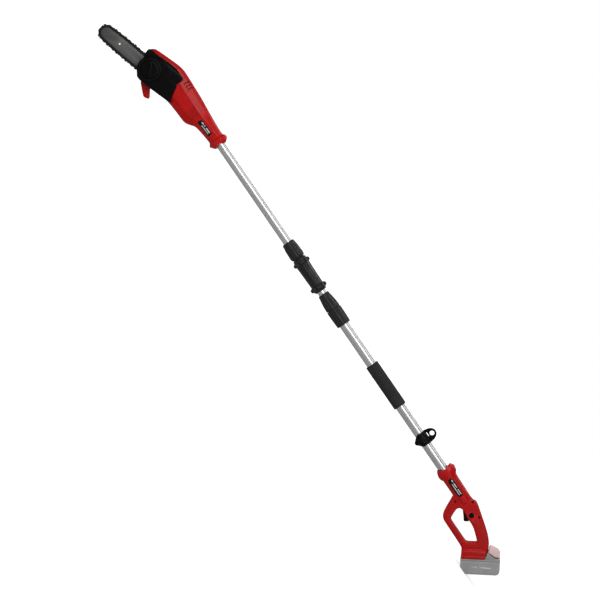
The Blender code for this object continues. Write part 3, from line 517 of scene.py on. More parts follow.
HEAD_TOP = eased([(-371, -13), (-366, -3), (-359.6, 3.1), (-320, 18), (-279, 32.6), (-257, 37.2),
                  (-217, 35.7), (-155, 32.6), (-108.5, 27.9), (-46.5, 23.6), (-26, 23.6), (-21.7, 29.5),
                  (-15.5, 31), (-11, 30), (0, 17.5)])
HEAD_BOTTOM = eased([(-371, -20), (-366, -31), (-353.4, -46.5), (-341, -74.4), (-334.8, -83.7),
                     (-322.4, -91), (-310, -91.5), (-272.8, -80.6), (-232.5, -66.7), (-210.8, -58.9),
                     (-155, -55.2), (-127, -54.3), (-114.7, -49.6), (-102.3, -40.3), (-93, -32.6),
                     (-62, -28), (-26, -24.8), (-21.7, -28), (-15.5, -32.6), (-11, -30), (0, -20)])
NECK_SIDE = [(-60, 24), (-26, 23), (-21.7, 27), (-15.5, 28), (-5, 23), (0, 18)]
HEAD_FAR = eased([(-371, 12), (-360, 24), (-340, 33), (-310, 37), (-150, 38), (-128, 37), (-100, 28)]
                 + NECK_SIDE)
HEAD_NEAR = eased([(-371, 12), (-355, 22), (-310, 27), (-150, 28), (-100, 25)] + NECK_SIDE)
RIDGE_HIGH = [(-371, -14), (-340, -4), (-300, 4), (-257, 9), (-223, 5), (-112, 3), (-60, 6), (0, 5)]
RIDGE_LOW = [(-371, -18), (-340, -48), (-310, -64), (-257, -52), (-223, -40), (-200, -33), (-124, -28),
             (-100, -20), (-60, -10), (0, -8)]
ROUNDNESS = [(-125, 0.0), (-70, 1.0)]
RING_ANGLES = [math.radians(turn) for turn in (100, 122, 158, 202, 238, 260, 280, 302, 338, 22, 58, 80)]
HEAD_STEP = 5.0
NECK_STEP = 1.5
NECK_START = -28.0
COVER_OUTLINE = [(-371.5, -15.5), (-365.8, -31), (-353.4, -46.5), (-347, -60), (-341, -74.4),
                 (-334.8, -83.7), (-322.4, -91.5), (-310, -91.5), (-272.8, -80.6), (-232.5, -66.7),
                 (-210.8, -58.9), (-195.3, -55.8), (-204.6, -43.4), (-226.3, -9.3), (-232.5, -3.1),
                 (-231, 15.5), (-236, 21.7), (-272.8, 21.7), (-303.8, 12.4), (-334.8, 0), (-368, -9)]
HOOK = [(-270, -72), (-272.8, -80.6), (-251, -97.5), (-247.5, -101), (-247.8, -104.5), (-256, -110.6),
        (-261, -112), (-266, -111.2), (-311, -91.5), (-300, -78)]
HEAD_SCREWS = {"head_screw_upper": (-146, 23), "head_screw_lower": (-150, -46)}
SHELL_WALL = 2.5
SEAM = 0.15
UPPER_FIT_R = 14.55
LOWER_FIT_R = 16.3


def head_ring(u, grow=0.0):
    """The head's cross section at u: flat sides and chamfers, round at the neck."""
    top = table(HEAD_TOP, u) + grow
    bottom = table(HEAD_BOTTOM, u) - grow
    near = table(HEAD_NEAR, u) + grow
    far = table(HEAD_FAR, u) + grow
    height = top - bottom
    high = min(table(RIDGE_HIGH, u), top - 0.2 * height)
    low = min(max(table(RIDGE_LOW, u), bottom + 0.2 * height), high - 0.1 * height)
    side = [(0.34, top), (0.70, top - 0.24 * (top - high)), (1.0, high), (1.0, low),
            (0.60, bottom + 0.18 * (low - bottom)), (0.28, bottom)]
    faceted = [(-near * across, h) for across, h in side]
    faceted += [(far * across, h) for across, h in reversed(side)]
    blend = table(ROUNDNESS, u)
    middle, half = 0.5 * (top + bottom), 0.51 * height
    points = []
    for (y, h), turn in zip(faceted, RING_ANGLES):
        width = near if math.cos(turn) < 0.0 else far
        round_y = 1.02 * width * math.cos(turn)
        round_h = middle + half * math.sin(turn)
        points.append((y + (round_y - y) * blend, h + (round_h - h) * blend))
    return [(u, y, h) for y, h in softened(points, 2, 0.07)]


def head_solid(start=-371.0, end=0.0, grow=0.0):
    stations = list(np.arange(start, min(end, NECK_START), HEAD_STEP))
    if end > NECK_START:
        stations += list(np.arange(NECK_START, end, NECK_STEP))
    return skinned([head_ring(float(u), grow) for u in stations + [end]])


def drawn_out(outline, side):
    """An outline drawn out sideways from near the pole's axis: side is -1 (near) or 1 (far)."""
    return prism(outline, *((-80.0, -5.0) if side < 0 else (5.0, 80.0)))


def inlay(solid_at, outline, side, low, high):
    """A curved plate that follows a surface, between two depths below and above it."""
    return cut(combine(solid_at(high), drawn_out(outline, side), "INTERSECT"), solid_at(low))


def recess(solid_at, outline, side, depth):
    return cut(drawn_out(outline, side), solid_at(-depth))


def make_casings(part, body):
    """Cut a casing at its seam into the left (near) and right (far) half shell."""
    for side, y0, y1 in (("left", -SEAM, 90), ("right", -90, SEAM)):
        node = part + "_shell_" + side
        piece(node + "_casing", cut(body.copy(), block(-450, 1600, y0, y1, -200, 200)), node)


def make_label(part, rides, solid_at, outline, bars, heights):
    """A dark label with plain bars; heights: the bars' foot, the label's top, the bars' top."""
    foot, face, top = heights
    label = inlay(solid_at, outline, -1, -1.0, face)
    piece(part + "_label", label, look="label", rides=rides, slot="black_plastic")
    bars = gathered(*[inlay(solid_at, bar, -1, foot, top) for bar in bars])
    piece(part + "_label_bars", bars, look="silver", rides=rides, slot="bright_steel")


def screw(node, centre, axis, start, seat, end, shank, head):
    """A domed screw with a six-lobed recess; it goes from start to the head's top at end."""
    shaft = [(start, 0.55 * shank), (start + shank, shank), (seat, shank), (seat, head)]
    dome = [(seat + 0.6 * (end - seat), head), (seat + 0.85 * (end - seat), 0.9 * head), (end, 0.72 * head)]
    body = turned(shaft + dome, centre, axis, 24, ring=False)
    along = 1.0 if end > seat else -1.0
    star = [(end - 1.3 * along, 0.42 * head, 0.12 * head), (end + along, 0.42 * head, 0.12 * head)]
    body = cut(body, turned(star, centre, axis, 24, ring=False, lobes=6))
    piece(node + "_torx", body, node, look="dark_steel")


# ---- CAD pieces that stay as they are ----
def finish_cad_pieces():
    for node, slot in SLOT_OF.items():
        for material_slot in frame["nodes"][node].material_slots:
            material_slot.material = LOOKS[slot]


# ---- pole ----
def make_tubes():
    bores = {"head_tube": UPPER_BORE_R, "inner_tube": UPPER_BORE_R, "outer_tube": LOWER_BORE_R}
    for node, inner in bores.items():
        start, end = span_of(node)
        outer = 500.0 * (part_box(node)[1][2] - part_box(node)[0][2])
        edge = 0.3
        profile = [(start, outer - edge), (start + edge, outer), (end - edge, outer), (end, outer - edge),
                   (end, inner), (start, inner)]
        piece(node + "_drawn", turned(profile, segments=96), node)


def make_union():
    collar = [(364, 16.5), (364.6, 18.6), (366, 20), (367.5, 20.4, 0.4), (379, 21.4, 0.9), (383, 22.4, 0.9),
              (413, 23.7, 0.9), (416, 23.5, 0.5), (418, 22.8), (421.5, 21), (423.2, 20), (423.8, 17.5),
              (470, 17.5), (470, UPPER_FIT_R), (364, UPPER_FIT_R)]
    collar = turned(collar, segments=160, lobes=20, power=0.5)
    piece("union_collar_ribbed", collar, "union_collar")
    nut = [(424.7, 19.0), (425.6, 20.6), (427, 21.5), (432.0, 22.3), (433.4, 24.0, 1.8),
           (436.0, 28.2, 6.2), (438.0, 28.5, 6.4), (442.0, 28.5, 6.4), (444.0, 28.2, 6.2),
           (446.4, 24.0, 2.4), (448.5, 22.4, 1.9), (486, 21.4, 1.9), (524.5, 20.6, 1.9),
           (526.0, 23.0, 2.6), (528.5, 27.8, 6.2), (531.0, 28, 6.2), (535.0, 28, 6.2),
           (537.5, 27.6, 6.2), (540.0, 22.8, 2.0), (542, 20.3), (545.5, 19), (547, 17.6),
           (547, UPPER_FIT_R), (486, UPPER_FIT_R), (486, 17.8), (424.7, 17.8)]
    piece("coupling_nut_fluted", turned(nut, segments=192, lobes=8, power=0.7), "coupling_nut")


def make_telescope_clamp():
    nut = [(558, 16.0), (558.8, 17.2), (560.5, 18.1), (566, 18.6, 0.5), (575, 20.2, 1.2), (590, 22.3, 1.4),
           (606, 23.4, 1.4), (610.5, 23.5, 0.9), (612.8, 23.0), (613.8, 22.2), (613.8, 19.8), (585, 19.8),
           (568, 16.6), (567, 14.6), (558, 14.6)]
    piece("clamp_nut_ribbed", turned(nut, segments=192, lobes=16, power=0.45), "clamp_nut")
    base = [(585, 19.5), (614.1, 19.5), (614.4, 22.2), (615.6, 23.6), (617.5, 24.4, 0.7),
            (619.5, 24.5, 1.3), (652, 23.8, 1.3), (666, 23.2, 1.2), (669.5, 22.8, 0.6), (671.8, 22.0),
            (672.7, 20.8), (672.7, LOWER_FIT_R), (605.6, LOWER_FIT_R), (605.6, 14.6), (585, 14.6)]
    piece("clamp_base_ribbed", turned(base, segments=192, lobes=16, power=0.45), "clamp_base")


def make_foam_grip():
    """The foam sleeve: slightly crowned, with soft ends and a faintly uneven surface."""
    start, end = span_of("foam_grip")
    crown = 20.75
    roll = 2.4
    outer = [(start + roll + a, crown - roll + b) for a, b in arc(roll, 180, 90, 5)]
    outer += [(u, crown) for u in np.linspace(start + 6.0, end - 6.0, 40)]
    outer += [(end - roll + a, crown - roll + b) for a, b in arc(roll, 90, 0, 5)]
    bm = turned(outer + [(end, LOWER_FIT_R), (start, LOWER_FIT_R)], segments=96)
    for vert in bm.verts:
        u, y, h = vert.co
        reach = math.hypot(y, h)
        if reach < crown - roll - 0.1:
            continue
        turn = math.atan2(h, y)
        wave = math.sin(0.11 * u + 2.0 * turn) + math.sin(0.047 * u - 3.0 * turn)
        wave += math.sin(0.23 * u + 5.0 * turn)
        scale = 1.0 + 0.07 * wave / reach
        vert.co = (u, y * scale, h * scale)
    grip = piece("foam_grip_sleeve", bm, "foam_grip", smooth=60.0)


def harness_lug():
    middle = EYE[0]
    half = [(23, 6), (21, 20), (19.5, 30), (15.5, 39), (8.5, 46)]
    return ([(middle - a, h) for a, h in half] + [(middle, 48.1)]
            + [(middle + a, h) for a, h in reversed(half)])


def harness_holes():
    """The tube's bore and the two screw holes, to cut from either half of the harness clamp."""
    screws = [(EYE[0], side * HARNESS_SCREW_Y, 0) for side in (-1, 1)]
    bore = rod((EYE[0], 0, 0), X_AXIS, -40, 40, LOWER_FIT_R, 96)
    return [bore] + [rod(spot, Z_AXIS, -9, 9, 2.4, 24) for spot in screws]


def make_harness_clamp():
    middle = EYE[0]
    band = [(21, 10), (21, 20.6), (20, 21.7), (15, 22), (14, 21.2)]
    ring = [(middle - a, radius) for a, radius in band]
    ring += [(middle + a, radius) for a, radius in reversed(band)]
    ear = rectangle(middle - 9, -4, middle + 9, 4)
    lug = rounded(softened(harness_lug(), 2), -5, 5, 1.6, 1.6)
    rim = [(-6.2, 9.4), (-6.2, 10.6), (-5.0, 11.8), (5.0, 11.8), (6.2, 10.6), (6.2, 9.4), (5.6, 7.6),
           (-5.6, 7.6)]
    rim = turned_at(EYE, rim, 64, ring=True)
    upper = join(turned(ring, segments=96), lug, rim, bevelled(prism(ear, -29, 29), 1.6, 3))
    lower_half = block(middle - 60, middle + 60, -60, 60, -60, 0.2)
    slot = rectangle(middle - 12, 17.4, middle + 3, 22.4)
    upper = cut(upper, lower_half, pin(EYE, -10, 10, 7.6, 48), rounded(softened(slot, 2), -10, 10))
    upper = cut(upper, *harness_holes())
    piece("harness_clamp_upper_lug", upper, "harness_clamp_upper", look="black_plastic")
    keel = [(middle - 20.6, -6), (middle - 18, -13), (middle - 3.5, -29), (middle + 3.5, -29),
            (middle + 18, -13), (middle + 20.6, -6)]
    lower = join(turned(ring, segments=96), bevelled(prism(keel, -6, 6), 1.8, 4),
                 bevelled(prism([(u, h - 2) for u, h in ear], -29, 29), 1.6, 3))
    for side in (-1, 1):
        corner = [(middle + side * 22, -7), (middle + side * 22, -30), (middle + side * 4, -30)]
        lower = cut(lower, prism(corner, -40, 40))
    upper_half = block(middle - 60, middle + 60, -60, 60, -0.2, 60)
    lower = cut(lower, upper_half, *harness_holes())
    piece("harness_clamp_lower_keel", lower, "harness_clamp_lower", look="black_plastic")
    for name, side in (("left", -1), ("right", 1)):
        screw("harness_screw_" + name, (middle, side * HARNESS_SCREW_Y, 0), Z_AXIS, -8, 6.3, 9.2, 2.0, 3.4)


# ---- saw head ----
def head_cavities():
    far = cut(head_solid(-364.0, -58.0, -SHELL_WALL), block(-400, 50, -80, -0.5, -150, 150))
    behind_bar = [(u, table(HEAD_TOP, u) - 4) for u in (-353, -341, -322, -290, -257, -232, -190)]
    behind_bar += [(u, table(HEAD_BOTTOM, u) + 4) for u in (-190, -232, -272, -310, -322, -334, -346)]
    near = prism(behind_bar, COVER_INNER_Y + SHELL_WALL + 0.3, 0.5)
    back = cut(head_solid(-192.0, -58.0, -SHELL_WALL), block(-400, 50, 0.5, 80, -150, 150))
    return [far, near, back, rod((0, 0, 0), X_AXIS, -64, 5, UPPER_FIT_R, 64)]


def vent_slit(u, h0, h1, width=5.0, bow=2.2):
    """A slit that bows towards the saw chain, with its ends rounded."""
    front, rear = [], []
    for k in range(7):
        t = k / 6.0
        across = u - bow * math.sin(math.pi * t) + 1.5 * t
        h = h0 + (h1 - h0) * t
        front.append((across - 0.5 * width, h))
        rear.append((across + 0.5 * width, h))
    return softened(front + list(reversed(rear)), 1)


def dash_marks():
    """Four rows of short grip recesses behind the head's side."""
    marks = []
    for row in range(4):
        for column in range(3):
            u = -149.0 + 14.5 * column + 1.5 * row
            h = -4.2 - 6.2 * row
            marks.append(softened(rectangle(u, h, u + 11.5, h + 3.0), 1))
    return marks


HEAD_LABEL = softened([(-101.5, -18.6), (-44.0, -16.0), (-45.5, -0.6), (-97.0, -1.6)], 1, 0.08)
HEAD_BARS = [[(-92, -8.4), (-84, -8.2), (-82.6, -4.2), (-90.6, -4.4)],
             [(-80, -8.1), (-76, -8.0), (-75, -4.1), (-79, -4.2)],
             [(-70, -8.0), (-51, -7.2), (-51, -3.4), (-69, -4.0)],
             [(-84, -14.6), (-51, -13.2), (-51, -10.2), (-83, -11.4)]]


def motor_part_at(grow):
    return head_solid(-232.0, -90.0, grow)


def neck_at(grow):
    return head_solid(-160.0, -30.0, grow)


def make_head_shells():
    body = head_solid()
    body = join(body, rounded(softened(HOOK, 1, 0.2), -7, 7, 2.2, 2.2))
    pocket = prism(shifted(COVER_OUTLINE, 0.5), -60, COVER_INNER_Y + 0.3)
    body = cut(body, pocket, *head_cavities())
    for u, h in HEAD_SCREWS.values():
        pillar = pin((u, h), -60, 60, 5.2)
        body = join(body, combine(pillar, head_solid(-192.0, -100.0, -1.2), "INTERSECT"))
    shaft_hole = pin(SPROCKET, -20, -1, 11.3, 48)
    stud_hole = pin(KNOB, -20, -1, 4.3)
    neck_hole = pin(OIL_NECK, 25, 60, 11.4, 48)
    mouth = prism([(-7.3, 0), (4, 27), (4, -27)], -40, 40)
    body = cut(body, shaft_hole, stud_hole, neck_hole, mouth)
    for u, h in HEAD_SCREWS.values():
        body = cut(body, pin((u, h), -3, 60, 1.9, 24), pin((u, h), 18, 60, 3.9))
    vent_shade_inlays = []
    for k, u in enumerate((-218.5, -208.0, -197.5)):
        slit = vent_slit(u, 13.0, 31.5 - 0.6 * k)
        floor = shifted(slit, -0.4)
        body = cut(body, recess(motor_part_at, slit, -1, 1.9), recess(motor_part_at, slit, 1, 1.9))
        # dark red plates on each slit's floor: painted shade inside the vents
        vent_shade_inlays += [inlay(motor_part_at, floor, side, -2.1, -1.6) for side in (-1, 1)]
    for outline in dash_marks():
        body = cut(body, recess(neck_at, outline, -1, 1.4))
    groove = [(-221, 0.6), (-106, -1.0), (-104, 1.6), (-221, 3.4)]
    body = cut(body, recess(motor_part_at, groove, -1, 1.3), recess(motor_part_at, groove, 1, 1.3))
    body = cut(body, recess(neck_at, shifted(HEAD_LABEL, 0.3), -1, 1.1))
    make_casings("head", body)
    # the vents' dark floor plates are painted shade, riding with the head
    piece("head_vent_painted_shade", gathered(*vent_shade_inlays), look="shadow", rides="upper_pole", slot="red_shell")
    make_label("head", "upper_pole", neck_at, HEAD_LABEL, HEAD_BARS, (0.2, 0.35, 0.55))
    for name, (u, h) in HEAD_SCREWS.items():
        screw(name, (u, 0, h), Y_AXIS, -2.7, 18.3, 21, 1.6, 3.6)


def half_space(point, normal, reach=400.0):
    """A large block whose flat face lies on the plane, on the side the normal points to."""
    normal = Vector(normal).normalized()
    side = normal.orthogonal().normalized()
    across = normal.cross(side)
    rings = []
    for depth in (0.0, reach):
        ring = []
        for a, b in ((-1, -1), (1, -1), (1, 1), (-1, 1)):
            ring.append(Vector(point) + side * (a * reach) + across * (b * reach) + normal * depth)
        rings.append(ring)
    return skinned(rings)


def make_chain_cover():
    body = rounded(softened(COVER_OUTLINE, 1, 0.15), COVER_FACE_Y, COVER_INNER_Y, 2.2, 0.0)
    top_edge = Vector((-272.8 + 361.0, 0.0, 21.7 + 9.0)).normalized()
    lean = Vector((0.0, -1.0, 0.0)) * 0.83 + Vector((-top_edge.z, 0.0, top_edge.x)) * 0.56
    body = cut(body, half_space((-303.8, -24.5, 12.4), lean))
    boss = [(-36.0, 38.0), (-36.0, 39.6), (-35.2, 40.5), (-34.0, 41.0), (-20.0, 41.0)]
    dish = [(-40.0, 38.2), (-35.0, 37.8)]
    body = join(body, cut(turned_at(KNOB, boss), turned_at(KNOB, dish)))
    for k in range(3):
        u, h = -256.0 + 8.5 * k, -44.5 + 1.8 * k
        rib = [(u, h), (u + 3.2, h), (u + 13.7, h + 15.0), (u + 10.5, h + 15.0)]
        body = join(body, rounded(softened(rib, 1), -33.9, -31.0, 0.6, 0.0))
    hollow = prism(shifted(COVER_OUTLINE, -SHELL_WALL), COVER_FACE_Y + SHELL_WALL + 1.2, 0)
    hollow = cut(hollow, half_space(Vector((-303.8, -24.5, 12.4)) - lean * SHELL_WALL, lean))
    run = [bar_point(s, w) for s, w in rectangle(10, 33, 110, -33)]
    slot = prism(run, -21.5, 0)
    stud = pin(KNOB, -60, 0, 4.6)
    trim = pin(KNOB, COVER_INNER_Y, 0, 60)
    piece("chain_cover_moulding", cut(body, hollow, slot, stud, trim), "chain_cover")


def make_cover_knob():
    ring = [(-42.0, 30.5), (-42.0, 34.4), (-41.4, 36.0, 0.9), (-40.2, 37, 1.3), (-37.2, 37, 1.3),
            (-36.3, 36.2, 0.6), (-36.3, 30.5)]
    ring = turned_at(KNOB, ring, 288, ring=True, lobes=36, power=0.7)
    piece("tension_ring_knurled", ring, "tension_ring")
    knob = turned_at(KNOB, [(-43.5, 22.5), (-43.3, 25.6), (-42.6, 27.2), (-41.4, 28), (-36.3, 28)])
    knob = cut(knob, turned_at(KNOB, [(-50, 21.5), (-42.9, 20.5)]))
    wing = []
    c, s = math.cos(KNOB_WING_TURN), math.sin(KNOB_WING_TURN)
    lower = [(-24, -5), (-12, -6.6), (0, -7.4), (12, -6.6), (24, -5)]
    for x, z in lower + [(x, -z) for x, z in reversed(lower)]:
        wing.append((KNOB[0] + x * c - z * s, KNOB[1] + x * s + z * c))
    knob = join(knob, rounded(softened(wing, 2), -48.0, -40, 2.6, 0.0))
    knob = cut(knob, pin(KNOB, -41, 0, 4.6))
    piece("cover_knob_wing", knob, "cover_knob")
    stud = [(-40.3, 3.2), (-39.5, 4.0)]
    for k in range(18):
        stud += [(-39.0 + 1.25 * k, 3.9), (-38.4 + 1.25 * k, 3.4)]
    stud += [(-14.0, 4.0), (-2.0, 4.0), (-2.0, 7.5), (3.5, 7.5)]
    piece("bar_stud_threaded", turned_at(KNOB, stud, 32), "bar_stud")


# ---- bar and chain ----
BAR_WIDTHS = [(-47, 17), (-40, 19), (0, 20.8), (60, 22.3), (100, 22.5), (140, 21.8), (NOSE_S, NOSE_R)]


def bar_half_width(s):
    return table(BAR_WIDTHS, s)


def bar_outline(inset=0.0):
    stations = (-47 + inset, -40 + inset, 0, 30, 60, 80, 100, 120, 140, 160)
    upper = [(s, bar_half_width(s) - inset) for s in stations]
    nose = arc(NOSE_R - inset, 84, -84, 32, NOSE_S)
    return [bar_point(s, w) for s, w in upper + nose + [(s, -w) for s, w in reversed(upper)]]


def toothed(centre, teeth, tooth):
    """A wheel's outline; tooth holds (part of a tooth's turn, radius)."""
    outline = []
    for k in range(teeth):
        for part, radius in tooth:
            turn = ALL_ROUND * (k + part) / teeth
            outline.append((centre[0] + radius * math.cos(turn), centre[1] + radius * math.sin(turn)))
    return outline


def make_guide_bar():
    """Two side plates on a narrower core, which leaves the groove for the drive links."""
    plates = []
    for y0, y1 in ((BAR_Y - 2.0, BAR_Y - 0.75), (BAR_Y + 0.75, BAR_Y + 2.0)):
        near, far = (0.45, 0.0) if y0 < BAR_Y - 1.0 else (0.0, 0.45)
        plate = rounded(bar_outline(), y0, y1, near, far, 2)
        nose_rivets = []
        for k in range(5):
            turn = ALL_ROUND * k / 5.0 + 0.3
            spot = bar_point(NOSE_S + 5.2 * math.cos(turn), 5.2 * math.sin(turn))
            out = y0 - 0.2 if near else y1 + 0.2
            nose_rivets.append(pin(spot, *sorted((out, 0.5 * (y0 + y1))), 1.1, 16))
        plates.append(join(plate, *nose_rivets))
    seat = prism(bar_outline(6.2), BAR_Y - 0.8, BAR_Y + 0.8)
    nose_room = pin(NOSE, BAR_Y - 2, BAR_Y + 2, NOSE_R - 0.6, 64)
    core = join(cut(seat, nose_room), pin(NOSE, BAR_Y - 0.9, BAR_Y + 0.9, 3.0))
    body = join(plates[0], core, plates[1])
    slot = softened([bar_point(s, w) for s, w in rectangle(-24, 4.4, 28, -4.4)], 2)
    holes = [prism(slot, -30, 0), pin(bar_point(125, 0), -30, 0, 2.7, 48)]
    holes += [pin(bar_point(-12, w), -30, 0, 2.0, 24) for w in (-13.0, 13.0)]
    piece("guide_bar_plates", cut(body, *holes), "guide_bar")
    rails = []
    for y0, y1 in ((BAR_Y - 2.06, BAR_Y - 1.3), (BAR_Y + 1.3, BAR_Y + 2.06)):
        rails.append(cut(prism(bar_outline(0.15), y0, y1), prism(bar_outline(2.8), BAR_Y - 6, BAR_Y + 6)))
    piece("guide_bar_rails", gathered(*rails), look="chain_steel", rides="upper_pole", slot="bar_steel")
    tooth = ((0.0, 14.2), (0.12, 15.2), (0.24, 17.6), (0.32, 18.2), (0.40, 17.6), (0.52, 15.2),
             (0.64, 14.2))
    wheel = prism(toothed(NOSE, 10, tooth), BAR_Y - 0.6, BAR_Y + 0.6)
    wheel = cut(wheel, pin(NOSE, BAR_Y - 2, BAR_Y + 2, 3.4))
    piece("nose_sprocket_star", wheel, "nose_sprocket")


def rivet_line():
    """The chain's rivets round bar and drive sprocket, as evenly spaced (s, w) points."""
    side = [(s, bar_half_width(s) + CHAIN_RISE) for s in (-40, 0, 60, 100, 140)]
    nose = arc(NOSE_R + CHAIN_RISE, 84, -84, 32, NOSE_S)
    drive = arc(SPROCKET_PITCH_R, 263, 97, 32, SPROCKET_S)
    corners = side + nose + [(s, -w) for s, w in reversed(side)] + drive
    closed = np.array(corners + corners[:1])
    lengths = np.hypot(*np.diff(closed, axis=0).T)
    walked = np.concatenate([[0.0], np.cumsum(lengths)])
    even = np.linspace(0.0, walked[-1], CHAIN_STEPS, endpoint=False)
    along, out = (np.interp(even, walked, closed[:, i]) for i in (0, 1))
    return list(zip(along.tolist(), out.tolist()))


def link_outline(start, end, outline):
    """An outline in a link's own frame, along and out from rivet to rivet, laid on the chain."""
    along = (Vector(end) - Vector(start)).normalized()
    out = Vector((-along.y, along.x))
    laid = []
    for a, b in outline:
        point = Vector(start) + along * a + out * b
        laid.append(bar_point(point.x, point.y))
    return laid


def strap_shape(pitch, bumper, radius=3.3):
    """A tie strap's outline: narrow between its rivets, or with a bumper that stands up there."""
    back = [(0.5 * pitch, 2.4)]
    if bumper:
        back = [(0.34 * pitch, 4.0), (0.42 * pitch, 4.7), (0.72 * pitch, 4.7)]
    return arc(radius, 270, 80, 8) + back + arc(radius, 100, -90, 8, pitch) + [(0.5 * pitch, -2.9)]


DRIVE_TANG = [(-2.0, -3.3), (-2.8, -1.0), (-2.6, 0.8), (-1.4, 2.4), (0.4, 2.8), (9.1, 2.8), (10.9, 2.4),
              (12.1, 0.8), (12.3, -1.0), (11.5, -3.3), (7.8, -3.8), (6.4, -6.4), (4.6, -7.2), (3.0, -5.6),
              (2.0, -3.8)]
SHORT_TANG = -3.7            # keeps drive links clear of the turning sprockets
CUTTER_SIDE = [(-1.8, -3.2), (-3.2, -1.2), (-3.6, 2.4), (-3.6, 4.9), (4.4, 5.1), (4.9, 4.4), (3.6, 2.2),
               (4.6, 1.1), (6.4, 1.4), (7.4, 4.3), (9.0, 4.6), (10.6, 3.5), (12.2, 1.0), (12.4, -1.2),
               (11.2, -3.2)]
CUTTER_TOP = [(-3.6, 3.6), (-3.6, 4.95), (4.5, 5.15), (5.1, 4.5), (4.1, 3.7)]
RIVET = [(-3.15, 1.2), (-2.9, 1.6), (2.9, 1.6), (3.15, 1.2)]


def make_saw_chain():
    rivets = rivet_line()
    solids = []
    for k in range(0, CHAIN_STEPS, 2):
        start, end, after = rivets[k], rivets[k + 1], rivets[(k + 2) % CHAIN_STEPS]
        straight = -40.0 < start[0] < NOSE_S - 14.0
        tang = [(along, h if straight else max(h, SHORT_TANG)) for along, h in DRIVE_TANG]
        solids.append(prism(link_outline(start, end, tang), BAR_Y - 0.65, BAR_Y + 0.65))
        kind = (k // 2) % 4
        for side in (-1, 1):
            y0, y1 = sorted((BAR_Y + side * 1.2, BAR_Y + side * 2.7))
            if (kind == 0 and side < 0) or (kind == 2 and side > 0):
                solids.append(prism(link_outline(end, after, CUTTER_SIDE), y0, y1))
                top = sorted((BAR_Y + side * 3.2, BAR_Y - side * 0.9))
                solids.append(prism(link_outline(end, after, CUTTER_TOP), *top))
            else:
                pitch = math.dist(end, after)
                solids.append(prism(link_outline(end, after, strap_shape(pitch, kind % 2 == 1)), y0, y1))
    for s, w in rivets:
        u, h = bar_point(s, w)
        solids.append(turned(RIVET, (u, BAR_Y, h), Y_AXIS, 12, ring=False))
    piece("saw_chain_links", gathered(*solids), "saw_chain")


def make_drive_sprocket():
    tooth = ((0.0, 10.6), (0.16, 11.4), (0.26, 13.2), (0.34, 13.6), (0.42, 13.2), (0.52, 11.4),
             (0.68, 10.6))
    spur = prism(toothed(SPROCKET, 6, tooth), -17.0, -11.0)
    hub = turned_at(SPROCKET, [(-17.2, 8.9), (-16.9, 9.2), (-11.1, 9.2), (-10.8, 8.9)], 48)
    body = cut(join(spur, hub), pin(SPROCKET, -30, 0, 5.3))
    piece("drive_sprocket_spur", body, "drive_sprocket")


def make_oil_cap():
    cap = [(48.0, 13.6), (47.4, 15.2, 0.6), (46.0, 16.4, 1.3), (40.2, 16.5, 1.3), (39.0, 15.9, 0.6),
           (39.0, 11.4), (44.5, 11.4), (44.5, 7.9), (41, 7.9)]
    u, h = OIL_NECK
    grip = rectangle(u - 10, h - 2, u + 10, h + 2)
    body = turned_at(OIL_NECK, cap, 120, lobes=20, power=0.6)
    body = cut(body, turned_at(OIL_NECK, [(46.9, 11.6), (50.0, 12.2)]))
    body = join(body, rounded(softened(grip, 1), 45.6, 47.7))
    piece("oil_cap_knurled", body, "oil_cap")


# ---- handle ----
HANDLE_OUTER = [(1250, 20), (1300, 20), (1345, 22), (1353, 27.5), (1366, 26.5), (1380, 22.5), (1410.5, 14),
                (1435, 7), (1457, 0), (1475, -8), (1488, -15.5), (1500.4, -28), (1508, -40), (1514, -50),
                (1475, -103), (1462, -101), (1444.6, -90), (1348.5, -88.4), (1339, -86), (1331, -81),
                (1324, -72), (1314, -52.7), (1303, -29), (1297, -18), (1250, -18)]
HAND_GAP = [(1345, -25), (1341, -32), (1341, -38), (1345.4, -49.6), (1352, -64), (1356, -67.5), (1362, -69),
            (1436, -69), (1442, -66), (1458, -45), (1459, -41), (1441.5, -34), (1420, -26.8), (1404, -24.4),
            (1384, -25), (1356, -21)]
BARREL = [(1209, 23.5, -19.5, 20), (1213, 28, -22.5, 22.5), (1223, 35.5, -26.5, 26), (1231, 34, -28, 26),
          (1240, 31.5, -26.5, 25), (1247, 25.5, -22, 23), (1262, 24, -22, 23), (1300, 23, -22, 23),
          (1338, 21.5, -21, 20), (1348, 20, -19, 15)]
HANDLE_SCREWS = {"handle_screw_front": (1319, -26), "handle_screw_middle": (1350, 18.6),
                 "handle_screw_rear": (1401, 7.5)}
HANDLE_LABEL = softened(rectangle(1250.5, -9.5, 1315, 8.5), 2, 0.16)
HANDLE_BARS = [[(1256, 1), (1264, 1), (1265, 4.4), (1257, 4.4)],
               [(1268, 1), (1284, 1), (1285, 4.4), (1269, 4.4)],
               [(1290, 1.4), (1309, 1.4), (1309, 4.6), (1291, 4.6)],
               [(1268, -4.6), (1309, -4.6), (1309, -1.8), (1269, -1.8)]]


def barrel_solid(grow=0.0, points=48, square=2.3):
    rings = []
    for u, top, bottom, half in BARREL:
        middle, reach = 0.5 * (top + bottom), 0.5 * (top - bottom) + grow
        ring = []
        for k in range(points):
            turn = ALL_ROUND * k / points
            c, s = math.cos(turn), math.sin(turn)
            y = (half + grow) * math.copysign(abs(c) ** (2.0 / square), c)
            ring.append((u, y, middle + reach * math.copysign(abs(s) ** (2.0 / square), s)))
        rings.append(ring)
    return skinned(rings)


def dock_blocks():
    """The battery shoe: a skirt and two narrower steps above it."""
    skirt = [(-5, -0.4), (67, -0.4), (72.6, -11), (-5, -11)]
    waist = [(-4.6, -8), (71, -8), (73.6, -14), (74.4, -25), (20, -27), (-4.6, -24)]
    crown = [(-2, -18), (74.4, -18), (74.8, -27), (55, -31), (20, -31), (-3, -29)]
    steps = ((skirt, 36, 2.6), (waist, 31.5, 4.0), (crown, 25, 4.0))
    return [bevelled(prism(docked(outline), -half, half), edge, 4) for outline, half, edge in steps]


